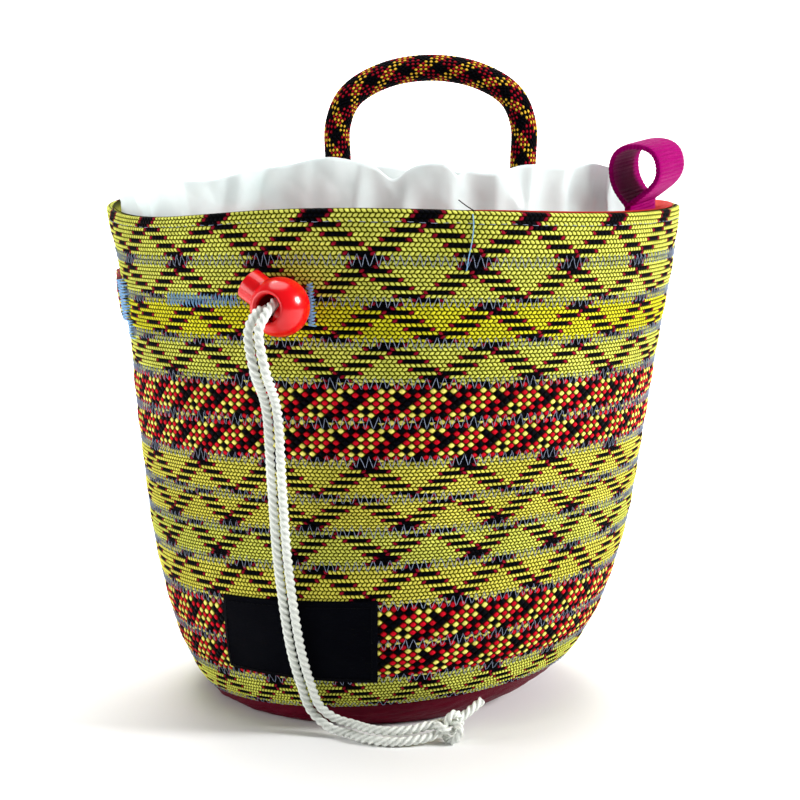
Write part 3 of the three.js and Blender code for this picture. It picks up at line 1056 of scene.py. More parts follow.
@dataclass(frozen=True)
class Braid:
    """Braided sheath of the rope: picks along the rope, in rows across it."""

    pick: float = 0.00192
    relief: float = 0.0005
    detail: int = 3

    def height(self, picks: Array, rows: Array) -> Array:
        """Relief of the picks, from 0 in the grooves to 1 on the crowns."""
        raise NotImplementedError

    def colour(self, picks: Array, rows: Array) -> Array:
        """Yarn colours."""
        raise NotImplementedError

    def fold(self, picks: float, rows: float) -> Form | None:
        """Rule for the quads that fold on their second diagonal, if any do, on so many picks and rows."""
        return None

    def whole_picks(self, run: float, step: int) -> int:
        """Number of picks on a run, in whole repeats of the pattern."""
        return max(step, round(run / self.pick / step) * step)

    @staticmethod
    def dyed(choices: Sequence[tuple[Yarn, Array]], picks: Array, rows: Array) -> Array:
        """Colours of the picks, each a little off its dye.

        Args:
            choices: Yarns with the picks that each one has, later ones over earlier ones.
            picks: Whole-number place of the pick along the rope.
            rows: Whole-number row of the pick.

        Returns:
            One linear colour per row.
        """
        colours = np.zeros((len(picks), 3))
        for yarn, chosen in choices:
            colours[chosen] = yarn.value
        return colours * (0.86 + 0.28 * scatter(picks, rows))[:, None]


@dataclass(frozen=True)
class HerringboneBraid(Braid):
    """Yellow sheath: rows of slanting picks laid like bricks, with dark tracers that cross in diamonds.

    cross_pick and cross_row say where on the band one of the crossings lies.
    """

    yarn: Yarn = Yarn.YELLOW
    repeat: int = 20
    tracer: int = 6
    lean: float = 0.45
    cross_pick: float = 0.0
    cross_row: float = 0.0

    def _place(self, picks: Array, rows: Array) -> Array:
        """Place in a row's own picks: odd rows lie half a pick on and lean the other way."""
        odd = np.floor(rows) % 2
        return picks + 0.5 * odd + self.lean * (rows % 1 - 0.5) * (1 - 2 * odd)

    def height(self, picks: Array, rows: Array) -> Array:
        """Pillows between the slanting grooves."""
        along, across = self._place(picks, rows) % 1, rows % 1
        return (4 * along * (1 - along)) ** 0.6 * (4 * across * (1 - across)) ** 0.5

    def colour(self, picks: Array, rows: Array) -> Array:
        """Yellow picks, with tracers that step one pick in each row.

        Args:
            picks: Places along the rope.
            rows: Places across it.

        Returns:
            Linear colours.
        """
        pick, row = np.floor(self._place(picks, rows)), np.floor(rows)
        heading = np.where(row % 2 == 0, -1, 1)
        place = np.floor(pick - self.cross_pick + heading * (row - self.cross_row) + self.tracer / 2) % self.repeat
        traced = place < self.tracer
        capped = traced & ((place < 1) | (place >= self.tracer - 1))
        everywhere = np.ones_like(traced)
        return self.dyed([(self.yarn, everywhere), (Yarn.BLACK, traced), (Yarn.CRIMSON, capped)], pick, row)


@dataclass(frozen=True)
class DiamondBraid(Braid):
    """Speckled sheath: lozenge picks, lemon ones in even rows and red ones in odd rows, on black."""

    repeat: int = 5
    lemons: int = 3
    reds: int = 4
    offset: int = 0
    light: Yarn = Yarn.LEMON
    warm: Yarn = Yarn.RED

    @staticmethod
    def _lozenge(picks: Array, rows: Array) -> tuple[Array, Array, Array, Array]:
        """Whole-number place of the lozenge on its two diagonals, and the place in it.

        Args:
            picks: Places along the rope.
            rows: Places across it.

        Returns:
            Two whole numbers and two places.
        """
        rising, falling = (picks + rows) / 2, (picks - rows) / 2
        first, second = np.rint(rising), np.rint(falling)
        return first, second, rising - first, falling - second

    def height(self, picks: Array, rows: Array) -> Array:
        """Pillows between diagonal grooves."""
        _, _, rising, falling = self._lozenge(picks, rows)
        return np.clip((1 - 4 * rising**2) * (1 - 4 * falling**2), 0, 1) ** 0.6

    def colour(self, picks: Array, rows: Array) -> Array:
        """Lemon and red groups that lean across each other.

        Args:
            picks: Places along the rope.
            rows: Places across it.

        Returns:
            Linear colours.
        """
        first, second, _, _ = self._lozenge(picks, rows)
        row, place = first - second, first + second
        even = row % 2 == 0
        column = np.where(even, place / 2, (place - 1) / 2) + self.offset
        group = np.where(even, column + row / 2, column - (row - 1) / 2) % self.repeat
        lemon, red = even & (group < self.lemons), ~even & (group < self.reds)
        everywhere = np.ones_like(even)
        return self.dyed([(Yarn.BLACK, everywhere), (self.light, lemon), (self.warm, red)], place, row)

    def fold(self, picks: float, rows: float) -> Form:
        """Quads fold along the grooves."""
        return lambda share, across: (np.floor(share * picks) + np.floor(across * rows)) % 2 == 0


@dataclass
class BraidedStrip:
    """Strip of flattened rope: a braided face and a flat back, closed into one skin."""

    name: str
    braid: Braid
    picks: int
    rows: int
    back_rows: int = 4

    def lay(self, seat: Callable[[Array, Array, Array, Array], Array]) -> bpy.types.Object:
        """Build the strip.

        Args:
            seat: Gives positions from shares of the length and of the width, the relief, and True on the back.

        Returns:
            The new object.
        """
        braid, detail = self.braid, self.braid.detail
        face = self.rows * detail
        lines = face + self.back_rows
        grid = ClothGrid(self.name, self.picks * detail, lines, self.picks, lines / detail)

        def form(share: Array, across: Array) -> Array:
            """Position on the strip: its braided face, then its flat back."""
            line = np.rint(across * lines)
            line = np.where(line == lines, 0, line)
            row = np.minimum(line / detail, self.rows)
            back = line > face
            along = np.where(back, 1 - (line - face - 1) / (self.back_rows - 2), row / self.rows)
            return seat(share, along, braid.height(share * self.picks, row) * braid.relief, back)

        def paint(share: Array, across: Array) -> Array:
            """Colours of the picks."""
            return braid.colour(share * self.picks, np.minimum(across * lines / detail, self.rows))

        return grid.lay(form, paint, split=braid.fold(self.picks, lines / detail))


@dataclass(frozen=True)
class Crossing:
    """Where two tracers of a yellow band cross: degrees from the front and rows from the band's top."""

    azimuth: float
    row: float
    yarn: Yarn = Yarn.YELLOW


@dataclass
class RopeBand:
    """One flattened rope band of the wall: yellow where its tracers' crossing is given, else speckled."""

    wall: BagWall
    number: int
    crossing: Crossing | None = None
    repeats: int = 18
    rows: int = 10
    hem_rows: int = 12
    hem_roll: float = 0.0013
    hem_share: float = 0.16
    sink: float = 0.00015
    hem_sink: float = 0.0003

    def build(self) -> None:
        """Build and dress the band."""
        wall = self.wall
        top, bottom = wall.seam(self.number - 1), wall.seam(self.number)
        if self.crossing is None:
            braid, finish, slot = DiamondBraid(offset=self.number), LOZENGE_YARN, Slot.ROPE_SPECKLED
            picks = braid.whole_picks(TURN * float(wall.radius((top + bottom) / 2)), 10)
        else:
            picks = self.repeats * HerringboneBraid.repeat
            cross_pick = (self.crossing.azimuth + 180) / 360 * picks
            braid = HerringboneBraid(yarn=self.crossing.yarn, cross_pick=cross_pick, cross_row=self.crossing.row)
            finish, slot = HERRINGBONE_YARN, Slot.ROPE_YELLOW
        name = f"rope_band_{self.number:02d}"
        strip = BraidedStrip(f"{name}_braid", braid, picks, self.hem_rows if self.number == 1 else self.rows)

        def seat(share: Array, along: Array, raised: Array, back: Array) -> Array:
            """Position on the band."""
            down, out = self._section(top, bottom, along)
            out = np.where(back, -wall.band_depth, out + raised)
            down = np.where(back, top + (bottom - top) * along, down)
            return wall.point(math.pi + share * TURN, down, out)

        dress(strip.lay(seat), finish, stands_for=[name])

    def _section(self, top: float, bottom: float, along: Array) -> tuple[Array, Array]:
        """Place down the wall and stand-off of the band's outer face.

        Args:
            top: Upper seam.
            bottom: Lower seam.
            along: Share of the band's width from its top.

        Returns:
            Places down the wall and stand-offs.
        """
        if self.number > 1:
            crown = self.wall.band_bulge * (1 - np.abs(2 * along - 1) ** BAND_ROUNDING)
            return top + (bottom - top) * along, crown - self.sink
        angle = math.pi * np.clip(along / self.hem_share, 0, 1)
        roll_down = self.hem_roll * (1 - np.sin(angle))
        roll_out = -self.hem_sink - self.hem_roll * np.cos(angle)
        share = np.clip((along - self.hem_share) / (1 - self.hem_share), 0, 1)
        straight_down = self.hem_roll + (bottom - self.hem_roll) * share
        straight_out = (self.hem_roll - self.hem_sink) * (1 - share**3) - self.sink * share**3
        on_roll = along < self.hem_share
        return np.where(on_roll, roll_down, straight_down), np.where(on_roll, roll_out, straight_out)


CROSSINGS = {
    1: Crossing(5.8, 2.0, Yarn.LIME),
    2: Crossing(14.6, 0.5, Yarn.LIME),
    3: Crossing(18.4, 0.4, Yarn.SUN),
    4: Crossing(9.0, 9.6, Yarn.LIME),
    7: Crossing(15.0, 0.5),
    8: Crossing(2.8, 8.6),
    9: Crossing(18.9, 8.0, Yarn.LIME),
    10: Crossing(15.2, 9.6),
    13: Crossing(9.0, 0.6, Yarn.LIME),
}


# Sewing


def sew(name: str, path: Array, normals: Array, radius: float, finish: Finish) -> None:
    """Thread along a path.

    Args:
        name: Name of the object.
        path: Centre line of the thread.
        normals: Rough normals along it.
        radius: Radius of the thread.
        finish: Finish of the thread.
    """
    thread = Tube(name, path, normals, 5)
    dress(thread.lay(lambda share, turn: np.full_like(share, radius)), finish)


@dataclass
class ZigzagSeam:
    """Zigzag stitch along a seam, all round the bag or on a stretch of it."""

    wall: BagWall
    name: str
    number: int
    start: float = -math.pi
    end: float = math.pi
    pitch: float = 0.0033
    reach: float = 0.0026
    thread: float = 0.00013
    lift: float = 0.0008
    finish: Finish = SEAM_THREAD
    shift: float = 0.0
    points: int = 8

    def build(self) -> None:
        """Build and dress the stitches."""
        seam = self.wall.seam(self.number)
        count = round((self.end - self.start) * float(self.wall.radius(seam)) / self.pitch)
        step = np.arange(count * self.points + 1) / self.points
        half = np.floor(2 * step)
        swing = 2 * np.abs(2 * (step % 1) - 1) - 1
        uneven = [scatter(half + shift, self.number) - 0.5 for shift in (0, 1)]
        corner = uneven[0] + (uneven[1] - uneven[0]) * (2 * step - half)
        ends = np.clip(np.minimum(step, count - step), 0, 1)
        azimuth = self.start + (step + 0.24 * corner * ends) / count * (self.end - self.start)
        down = seam + self.shift + self.reach * swing * (1 + 0.3 * corner * ends)
        out = self.lift + 0.0005 * np.abs(swing) - 0.0008 * np.abs(swing) ** 10
        path = self.wall.point(azimuth, down, out)
        if self.end - self.start > TURN - WELD:
            path[-1] = path[0]
        sew(self.name, path, outward(azimuth), self.thread, self.finish)


@dataclass
class RunningStitch:
    """Straight stitches that hold the hem."""

    wall: BagWall
    name: str = "hem_stitch"
    down: float = 0.0046
    pitch: float = 0.0044
    thread: float = 0.00011
    points: int = 8

    def build(self) -> None:
        """Build and dress the stitches."""
        count = round(TURN * float(self.wall.radius(self.down)) / self.pitch)
        step = np.arange(count * self.points + 1) / self.points
        azimuth = math.pi + step / count * TURN
        dip = np.abs(2 * (step % 1) - 1) ** 1.6
        path = self.wall.point(azimuth, self.down + 0.0002 * np.sin(step * 1.3), 0.0016 - 0.0014 * dip)
        path[-1] = path[0]
        sew(self.name, path, outward(azimuth), self.thread, SEAM_THREAD)


@dataclass
class Bartack:
    """Dense zigzag of thread that holds a loop or a cord to the wall.

    lift gives the stand-offs at its two sides, as far down as a strip of rope lies under it.
    """

    wall: BagWall
    name: str
    azimuth: float
    top: float
    tall: float
    wide: float
    lift: tuple[float, float] = (0.0014, 0.0014)
    strip: float = math.inf
    bare: float = 0.0014
    drop: float = 0.0015
    pitch: float = 0.0012
    thread: float = 0.0003
    points: int = 10

    def build(self) -> None:
        """Build and dress the tack."""
        count = round(self.tall / self.pitch)
        step = np.arange(count * self.points + 1) / self.points
        half = np.floor(2 * step)
        swing = 2 * np.abs(2 * (step % 1) - 1) - 1
        ragged = 0.5 + 0.7 * scatter(half, np.full_like(half, count))
        down = self.top + self.tall * step / count
        turn = 0.5 * self.wide * swing * ragged / self.wall.radius(down)
        side = self.lift[0] + (self.lift[1] - self.lift[0]) * (0.5 - 0.5 * swing)
        side = self.bare + (side - self.bare) * np.clip((self.top + self.strip - down) / self.drop, 0, 1)
        out = side + 0.0005 * (1 - swing**2) - 0.0009 * np.abs(swing) ** 10 + 0.0002 * scatter(half)
        azimuth = self.azimuth + turn
        sew(self.name, self.wall.point(azimuth, down, out), outward(azimuth), self.thread, TACK_THREAD)


@dataclass
class LooseThread:
    """Stray stitch below the rim, with a dark thread end on the rim."""

    wall: BagWall
    azimuth: float = math.radians(14.2)
    bottom: float = 0.0218
    stitch_thread: float = 0.00024
    end_thread: float = 0.00022

    def build(self) -> None:
        """Build and dress both threads."""
        share = np.linspace(0, 1, 41)
        down = 0.0006 + self.bottom * share
        azimuth = self.azimuth + 0.005 * np.sin(share * 5) - 0.009 * share
        stitch = self.wall.point(azimuth, down, 0.0017 - 0.0012 * np.abs(2 * share - 1) ** 12)
        away = self.azimuth + 0.028 - 0.07 * share
        end = self.wall.point(away, 0.0008 - 0.0046 * share**1.4, 0.0006 - 0.0012 * share)
        sew("stray_stitch", stitch, outward(azimuth), self.stitch_thread, TACK_THREAD)
        sew("thread_end", end, outward(away), self.end_thread, DARK_THREAD)


# Base, lining and collar


@dataclass
class BasePanel:
    """Cloth base that the bag stands on."""

    wall: BagWall
    thickness: float = BASE_THICKNESS
    columns: int = 240
    rows: int = 48

    def build(self) -> None:
        """Build and dress the base."""
        slack = Crumple(5, 0.034, 3)
        grid = ClothGrid("base_cloth", self.columns, 2 * self.rows, 0.5, 0.2)

        def form(share: Array, across: Array) -> Array:
            """Position on the base: up its outer face to the seam and back inside."""
            azimuth = math.pi + share * TURN
            inner = across > 0.5
            place = 2 * np.abs(1 - 2 * across)
            soft = slack.height(np.sin(azimuth) * 0.08, across * 0.2) * np.exp(-((place - 0.45) / 0.35) ** 2)
            depth = np.where(inner, self.thickness, 0.0) + 0.0005 * soft * np.where(inner, 0, 1)
            point = self.wall.base_point(azimuth, place, depth)
            point[:, 2] = np.maximum(point[:, 2], 0.0)
            return point

        dress(grid.lay(form), BASE_CLOTH, stands_for=["base_panel"])


@dataclass
class Lining:
    """Cloth lining of the wall and floor, with its edge above the rim.

    flat, floor and side are shares of the climb from its middle: the edge of the flat, where the floor ends and
    where the wall begins.
    """

    wall: BagWall
    thickness: float = LINING_THICKNESS
    peek: tuple[float, float] = (-0.005, 0.0005)
    shown: tuple[float, float] = (math.radians(70), math.radians(66))
    flat: float = 0.15
    floor: float = 0.30
    side: float = 0.34
    slack: float = 0.0004
    columns: int = 300
    rows: int = 90

    def build(self) -> None:
        """Build and dress the lining."""
        wall = self.wall
        slack = Crumple(11, 0.06, 3)
        outer_out, outer_depth = -wall.band_depth - wall.gap, BASE_THICKNESS + wall.gap
        grid = ClothGrid("lining_cloth", self.columns, 2 * self.rows, 0.7, 0.6)
        last = wall.seam(wall.band_count - 1)

        def form(share: Array, across: Array) -> Array:
            """Position on the lining: from its middle up the outside, over the edge and down the inside."""
            azimuth = math.pi + share * TURN
            inner = across > 0.5
            climb = 1 - np.abs(1 - 2 * across)
            soft = self.slack * (1 + slack.height(np.sin(azimuth) * 0.1, np.cos(azimuth) * 0.07 + climb * 0.25))
            fade = np.clip(np.minimum(climb, 1 - climb) * 20, 0, 1)
            thick = np.where(inner, self.thickness + soft * fade, 0.0)
            floor = wall.base_point(azimuth, np.clip(2 - climb / self.flat, 0, 2), outer_depth + thick)
            showing = 1 / (1 + np.exp((np.abs(wrapped(azimuth, self.shown[0])) - self.shown[1]) * 14))
            peek = self.peek[0] + (self.peek[1] - self.peek[0]) * showing
            down = last + (-peek - last) * np.clip((climb - self.side) / (1 - self.side), 0, 1)
            side = wall.point(azimuth, down, outer_out - thick)
            blend = np.clip((climb - self.floor) / (self.side - self.floor), 0, 1)[:, None]
            return floor * (1 - blend) + side * blend

        dress(grid.lay(form), LINING_CLOTH, stands_for=["lining"])


@dataclass(frozen=True)
class Swell:
    """Rise or notch in the collar's free edge: its middle and reach in degrees, and its height."""

    azimuth: float
    reach: float
    rise: float

    def at(self, azimuth: Array) -> Array:
        """Rise of the edge at azimuths."""
        return self.rise * np.exp(-(((np.degrees(azimuth) - self.azimuth) / self.reach) ** 2))


@dataclass
class DrawstringCollar:
    """Gathered film collar inside the rim."""

    wall: BagWall
    seam_down: float = 0.047
    sections: tuple[tuple[float, float, float, float, float], ...] = (
        (-0.040, 0.100, 0.0010, -0.001, 0.0),
        (-0.033, 0.088, 0.0022, -0.003, 0.0),
        (-0.012, 0.095, 0.0016, -0.006, 0.0120),
        (0.017, 0.102, 0.0016, -0.008, 0.0095),
    )
    left_drop: float = 0.014
    right_bulge: float = 0.75
    skyline: tuple[Swell, ...] = (
        Swell(-58, 14, 0.0024), Swell(-13, 9, 0.0032), Swell(5, 3, -0.0046), Swell(19, 2, -0.0036),
        Swell(28, 7, -0.0026), Swell(160, 60, -0.0030), Swell(-160, 60, -0.0030),
    )
    film: float = 0.0004
    creases: tuple[float, float] = (0.0042, 0.0007)
    columns: int = 540
    rows: int = 84
    cut: tuple[float, float] = (0.72, 0.084)

    def build(self) -> None:
        coarse, fine = Crumple(3, 0.078, 2, 0.1), Crumple(8, 0.03, 1, 0.1)
        grid = ClothGrid("collar_film", self.columns, self.rows, *self.cut)

        def form(share: Array, across: Array) -> Array:
            """Position on the film, creased more towards its free edge."""
            azimuth = math.pi - share * TURN
            place = self._sheet(azimuth, across)
            run = share * self.cut[0]
            loose = np.clip(across * 2.2, 0, 1)
            ends = 0.5 - 0.5 * np.cos(TURN * np.clip(np.minimum(share, 1 - share) * 12, 0, 0.5))
            width = across * self.cut[1]
            crease = sum(tall * folds.height(run, width) for tall, folds in zip(self.creases, (coarse, fine)))
            rim = sum(swell.at(azimuth) for swell in self.skyline) + 0.0008 * np.cos(17 * azimuth + 2)
            lift = rim * ends * np.clip(across * 3 - 2, 0, 1)
            return self._held(place + outward(azimuth) * (crease * loose * ends)[:, None] + UP * lift[:, None])

        piece = thicken(grid.lay(form, closed=False), self.film, 0.0)
        dress(piece, COLLAR_FILM, stands_for=["drawstring_collar"])

    def _held(self, points: Array) -> Array:
        """Points kept inside the lining, or inside the rim's outer edge where they stand above it.

        Args:
            points: Points of the film.

        Returns:
            The points, drawn in where needed.
        """
        above = points[:, 2] - self.wall.rim_height
        lining = (self.wall.lining_face + 0.0002) * np.clip(1.4 - above / 0.005, 0, 1)
        room = self.wall.radius(np.maximum(-above, 0)) - lining
        reach = np.hypot(points[:, 0], points[:, 1])
        return points * np.stack([np.minimum(1, room / reach)] * 2 + [np.ones_like(reach)], axis=1)

    def _sheet(self, azimuth: Array, across: Array) -> Array:
        """Smooth form of the collar before its creases.

        Args:
            azimuth: Azimuths.
            across: Shares of the width from the seam to the free edge.

        Returns:
            One point per row.
        """
        rings = [self.wall.point(azimuth, self.seam_down, -self.wall.lining_face)]
        ripple = 0.6 * np.cos(13 * azimuth + math.radians(40)) + 0.4 * np.cos(21 * azimuth + math.radians(115))
        leftwards, rightwards = (np.maximum(0, side * np.sin(azimuth)) ** 2 for side in (-1, 1))
        for rise, radius, pleat, shift, bulge in self.sections:
            swollen = radius + pleat * ripple + bulge * (leftwards + self.right_bulge * rightwards)
            ring = outward(azimuth) * swollen[:, None]
            ring[:, 0] += shift
            ring[:, 2] = self.wall.rim_height + rise - self.left_drop * leftwards * (rise > 0)
            rings.append(ring)
        stack = np.stack([2 * rings[0] - rings[1], *rings, 2 * rings[-1] - rings[-2]])
        span = np.clip(across, 0, 1) * (len(rings) - 1)
        first = np.minimum(np.floor(span).astype(int), len(rings) - 2)
        share = (span - first)[:, None]
        each = np.arange(len(azimuth))
        before, start, end, after = (stack[first + k, each] for k in range(4))
        return hermite(start, end, (end - before) / 2, (after - start) / 2, share)


# Loops and label


@dataclass
class CarryHandle:
    """Round rope handle on the back of the wall."""

    wall: BagWall
    azimuth: float = math.radians(171.5)
    span: float = 0.092
    diameter: float = 0.013
    top: float = 0.2735
    spring: float = 0.246
    foot: float = 0.174
    turn_rows: int = 42
    relief: float = 0.0004
    whipping_start: float = 0.006
    whipping_width: float = 0.008
    whipping_turns: int = 9
    whipping_thread: float = 0.00045

    def build(self) -> None:
        """Build and dress the rope and the whipping that holds its feet."""
        braid = DiamondBraid(pick=0.00125, detail=2, repeat=7, light=Yarn.GOLD, warm=Yarn.WINE)
        route = self._route()
        length = float(lengths_along(spline_through(route, 400))[-1])
        picks = braid.whole_picks(length, 10)
        path = spline_through(route, picks * braid.detail)
        normals = carried_normals(path, outward(np.asarray(self.azimuth)))
        rope = Tube("handle_rope", path, normals, self.turn_rows * braid.detail, (picks, self.turn_rows))

        def radius(share: Array, turn: Array) -> Array:
            """Radius over the braid."""
            return self.diameter / 2 + self.relief * (braid.height(share * picks, turn * self.turn_rows) - 1)

        piece = rope.lay(
            radius,
            paint=lambda share, turn: braid.colour(share * picks, turn * self.turn_rows),
            split=braid.fold(picks, self.turn_rows),
        )
        dress(piece, LOZENGE_YARN, stands_for=["carry_handle"])
        self._whipping("left", path, normals)
        self._whipping("right", path[::-1], normals[::-1])

    def _route(self) -> Array:
        """Points that the rope's centre line passes through.

        Returns:
            One point per row.
        """
        half = self.span / 2
        clear = self.wall.stand_off + self.diameter / 2

        def stand(down: float) -> float:
            """Distance of the rope's centre from the axis, along the handle's azimuth."""
            return math.sqrt((float(self.wall.radius(down)) + clear) ** 2 - half**2)

        def at(side: float, radial: float, height: float) -> Array:
            """Point of the handle's own plane."""
            azimuth = np.asarray(self.azimuth)
            return along_rim(azimuth) * side + outward(azimuth) * radial + UP * height

        rim = self.wall.rim_height
        stand_rim = stand(0.0)
        legs = [
            [
                at(side * half, stand(rim - self.foot), self.foot),
                at(side * half, stand_rim, rim),
                at(side * half, stand_rim, (rim + self.spring) / 2),
            ]
            for side in (-1, 1)
        ]
        arch = [
            at(half * math.cos(angle), stand_rim, self.spring + (self.top - self.spring) * math.sin(angle))
            for angle in np.radians([180, 150, 120, 90, 60, 30, 0])
        ]
        return np.array([*legs[0], *arch, *reversed(legs[1])])

    def _whipping(self, side: str, path: Array, normals: Array) -> None:
        """Sew turns of thread round a foot of the rope.

        Args:
            side: Which foot.
            path: Centre line of the rope from that foot.
            normals: Normals along it.
        """
        turns, points = self.whipping_turns, 24
        run = lengths_along(path)
        share = np.linspace(0, 1, turns * points + 1)
        place = self.whipping_start + self.whipping_width * share
        middle, spoke = sample(place, run, path), sample(place, run, normals)
        sideways = np.cross(unit(np.gradient(middle, axis=0)), spoke)
        angle = share * turns * TURN
        ray = unit(spoke * np.cos(angle)[:, None] + sideways * np.sin(angle)[:, None])
        coil = middle + ray * (self.diameter / 2 + self.wall.gap)
        sew(f"handle_whipping_{side}", coil, ray, self.whipping_thread, TACK_THREAD)


@dataclass
class HangLoop:
    """Webbing loop that stands on the rim."""

    wall: BagWall
    azimuth: float = math.radians(64)
    width: float = 0.032
    strap: float = 0.0017
    half: float = 0.011
    tall: float = 0.0265
    rise: float = 0.0005
    tail: float = 0.016
    lean: float = 0.003
    tilt: float = math.radians(5.5)
    rib: float = 0.0016
    rib_steps: int = 6

    def build(self) -> None:
        """Build and dress the loop."""
        outline = self._outline()
        run = float(lengths_along(outline)[-1])
        ribs = round(run / self.rib)
        steps = ribs * self.rib_steps
        path = spline_through(outline, steps)
        sides = unit(np.gradient(path, axis=0))
        grid = ClothGrid("loop_webbing", steps, 44, run, self.width)
        out = outward(np.asarray(self.azimuth))
        upright = UP * math.cos(self.tilt) + np.cross(out, UP) * math.sin(self.tilt)
        away = np.cross(out, upright)
        seat = self.wall.radius(self.tail - self.rise) - self.wall.lining_face - 0.0005
        corner = self.width / 2 + self.tail * math.sin(self.tilt)
        root = out * (math.sqrt(float(seat) ** 2 - corner**2) - self.strap) + UP * (self.wall.rim_height + self.rise)

        def form(share: Array, across: Array) -> Array:
            """Position on the strap, ribbed across, with thinner, scalloped selvedges."""
            at = np.rint(share * steps).astype(int)
            wave = np.sin(share * ribs * TURN)
            lift = 0.00016 * wave - 0.00045 * np.abs(2 * across - 1) ** 10
            flat = path[at, 0] - sides[at, 1] * lift, path[at, 1] + sides[at, 0] * lift
            aside = (across - 0.5) * self.width * (1 - 0.009 * (1 + wave))
            return root + out * flat[0][:, None] + upright * flat[1][:, None] + away * aside[:, None]

        piece = thicken(grid.lay(form, closed=False), self.strap, 0.0)
        dress(piece, WEBBING, stands_for=["hang_loop"])

    def _outline(self) -> Array:
        """Middle line of the strap in its own plane: up its tail, round the drop and down again.

        Returns:
            Outward and upward place of each point.
        """
        inset = self.strap / 2
        side, crown, middle = self.half - inset, self.tall - inset, self.tall * 0.6
        foot, stem = inset * 2.2, self.strap - inset * 0.9
        curves = [
            [(-stem, foot), (self.lean - side * 0.64, foot + 0.0035), (self.lean - side, middle - 0.007),
             (self.lean - side, middle)],
            [(self.lean - side, middle), (self.lean - side, crown - 0.002), (self.lean - side * 0.5, crown),
             (self.lean, crown)],
            [(self.lean, crown), (self.lean + side * 0.5, crown), (self.lean + side, crown - 0.002),
             (self.lean + side, middle)],
            [(self.lean + side, middle), (self.lean + side, middle - 0.007), (self.lean + side * 0.3, foot + 0.0045),
             (stem, foot)],
        ]
        share = np.linspace(0, 1, 9)[:-1, None]
        points = [np.array([(-stem, -self.tail), (-stem, -self.tail / 2)])]
        for curve in curves:
            a, b, c, d = (np.array(point) for point in curve)
            points.append(a * (1 - share) ** 3 + 3 * b * share * (1 - share) ** 2 + 3 * c * share**2 * (1 - share)
                          + d * share**3)
        points.append(np.array([(stem, foot), (stem, -self.tail / 2), (stem, -self.tail)]))
        return np.vstack(points)


@dataclass
class BrushLoop:
    """Slack loop of speckled rope on the left of the wall."""

    wall: BagWall
    start: float = math.radians(-75)
    end: float = math.radians(-117)
    top: float = 0.0295
    width: float = 0.017
    thickness: float = 0.0026
    slack: float = 0.0088
    peak: float = 0.75
    crown: float = 0.0008
    picks: int = 40
    rows: int = 11
    tack: tuple[float, float] = (0.0245, 0.0125)
    tack_above: float = 0.001
    tack_inset: float = 0.05

    def build(self) -> None:
        """Build and dress the loop and the tacks at its ends."""
        strip = BraidedStrip("brush_loop_braid", DiamondBraid(offset=2), self.picks, self.rows)
        bow = math.log(0.5) / math.log(self.peak)

        def seat(share: Array, along: Array, raised: Array, back: Array) -> Array:
            """Position on the loop, which is thinner at its ends."""
            lift = self.wall.stand_off + self.slack * np.sin(math.pi * share**bow) ** 2
            taper = 0.2 + 0.8 * np.sin(0.5 * math.pi * np.clip(np.minimum(share, 1 - share) / 0.08, 0, 1))
            face = self.thickness * taper - self.crown * np.abs(2 * along - 1) ** BAND_ROUNDING + raised
            azimuth = self.start + (self.end - self.start) * share
            return self.wall.point(azimuth, self.top + self.width * along, lift + np.where(back, 0.0, face))

        dress(strip.lay(seat), LOZENGE_YARN, stands_for=["brush_loop"])
        top, strip_end = self.top - self.tack_above, self.width + self.tack_above
        for name, azimuth, lift in (
            ("front", self.start + self.tack_inset, (0.0016, 0.0036)),
            ("back", self.end - self.tack_inset, (0.0036, 0.0016)),
        ):
            Bartack(self.wall, f"brush_loop_tack_{name}", azimuth, top, *self.tack, lift, strip_end).build()


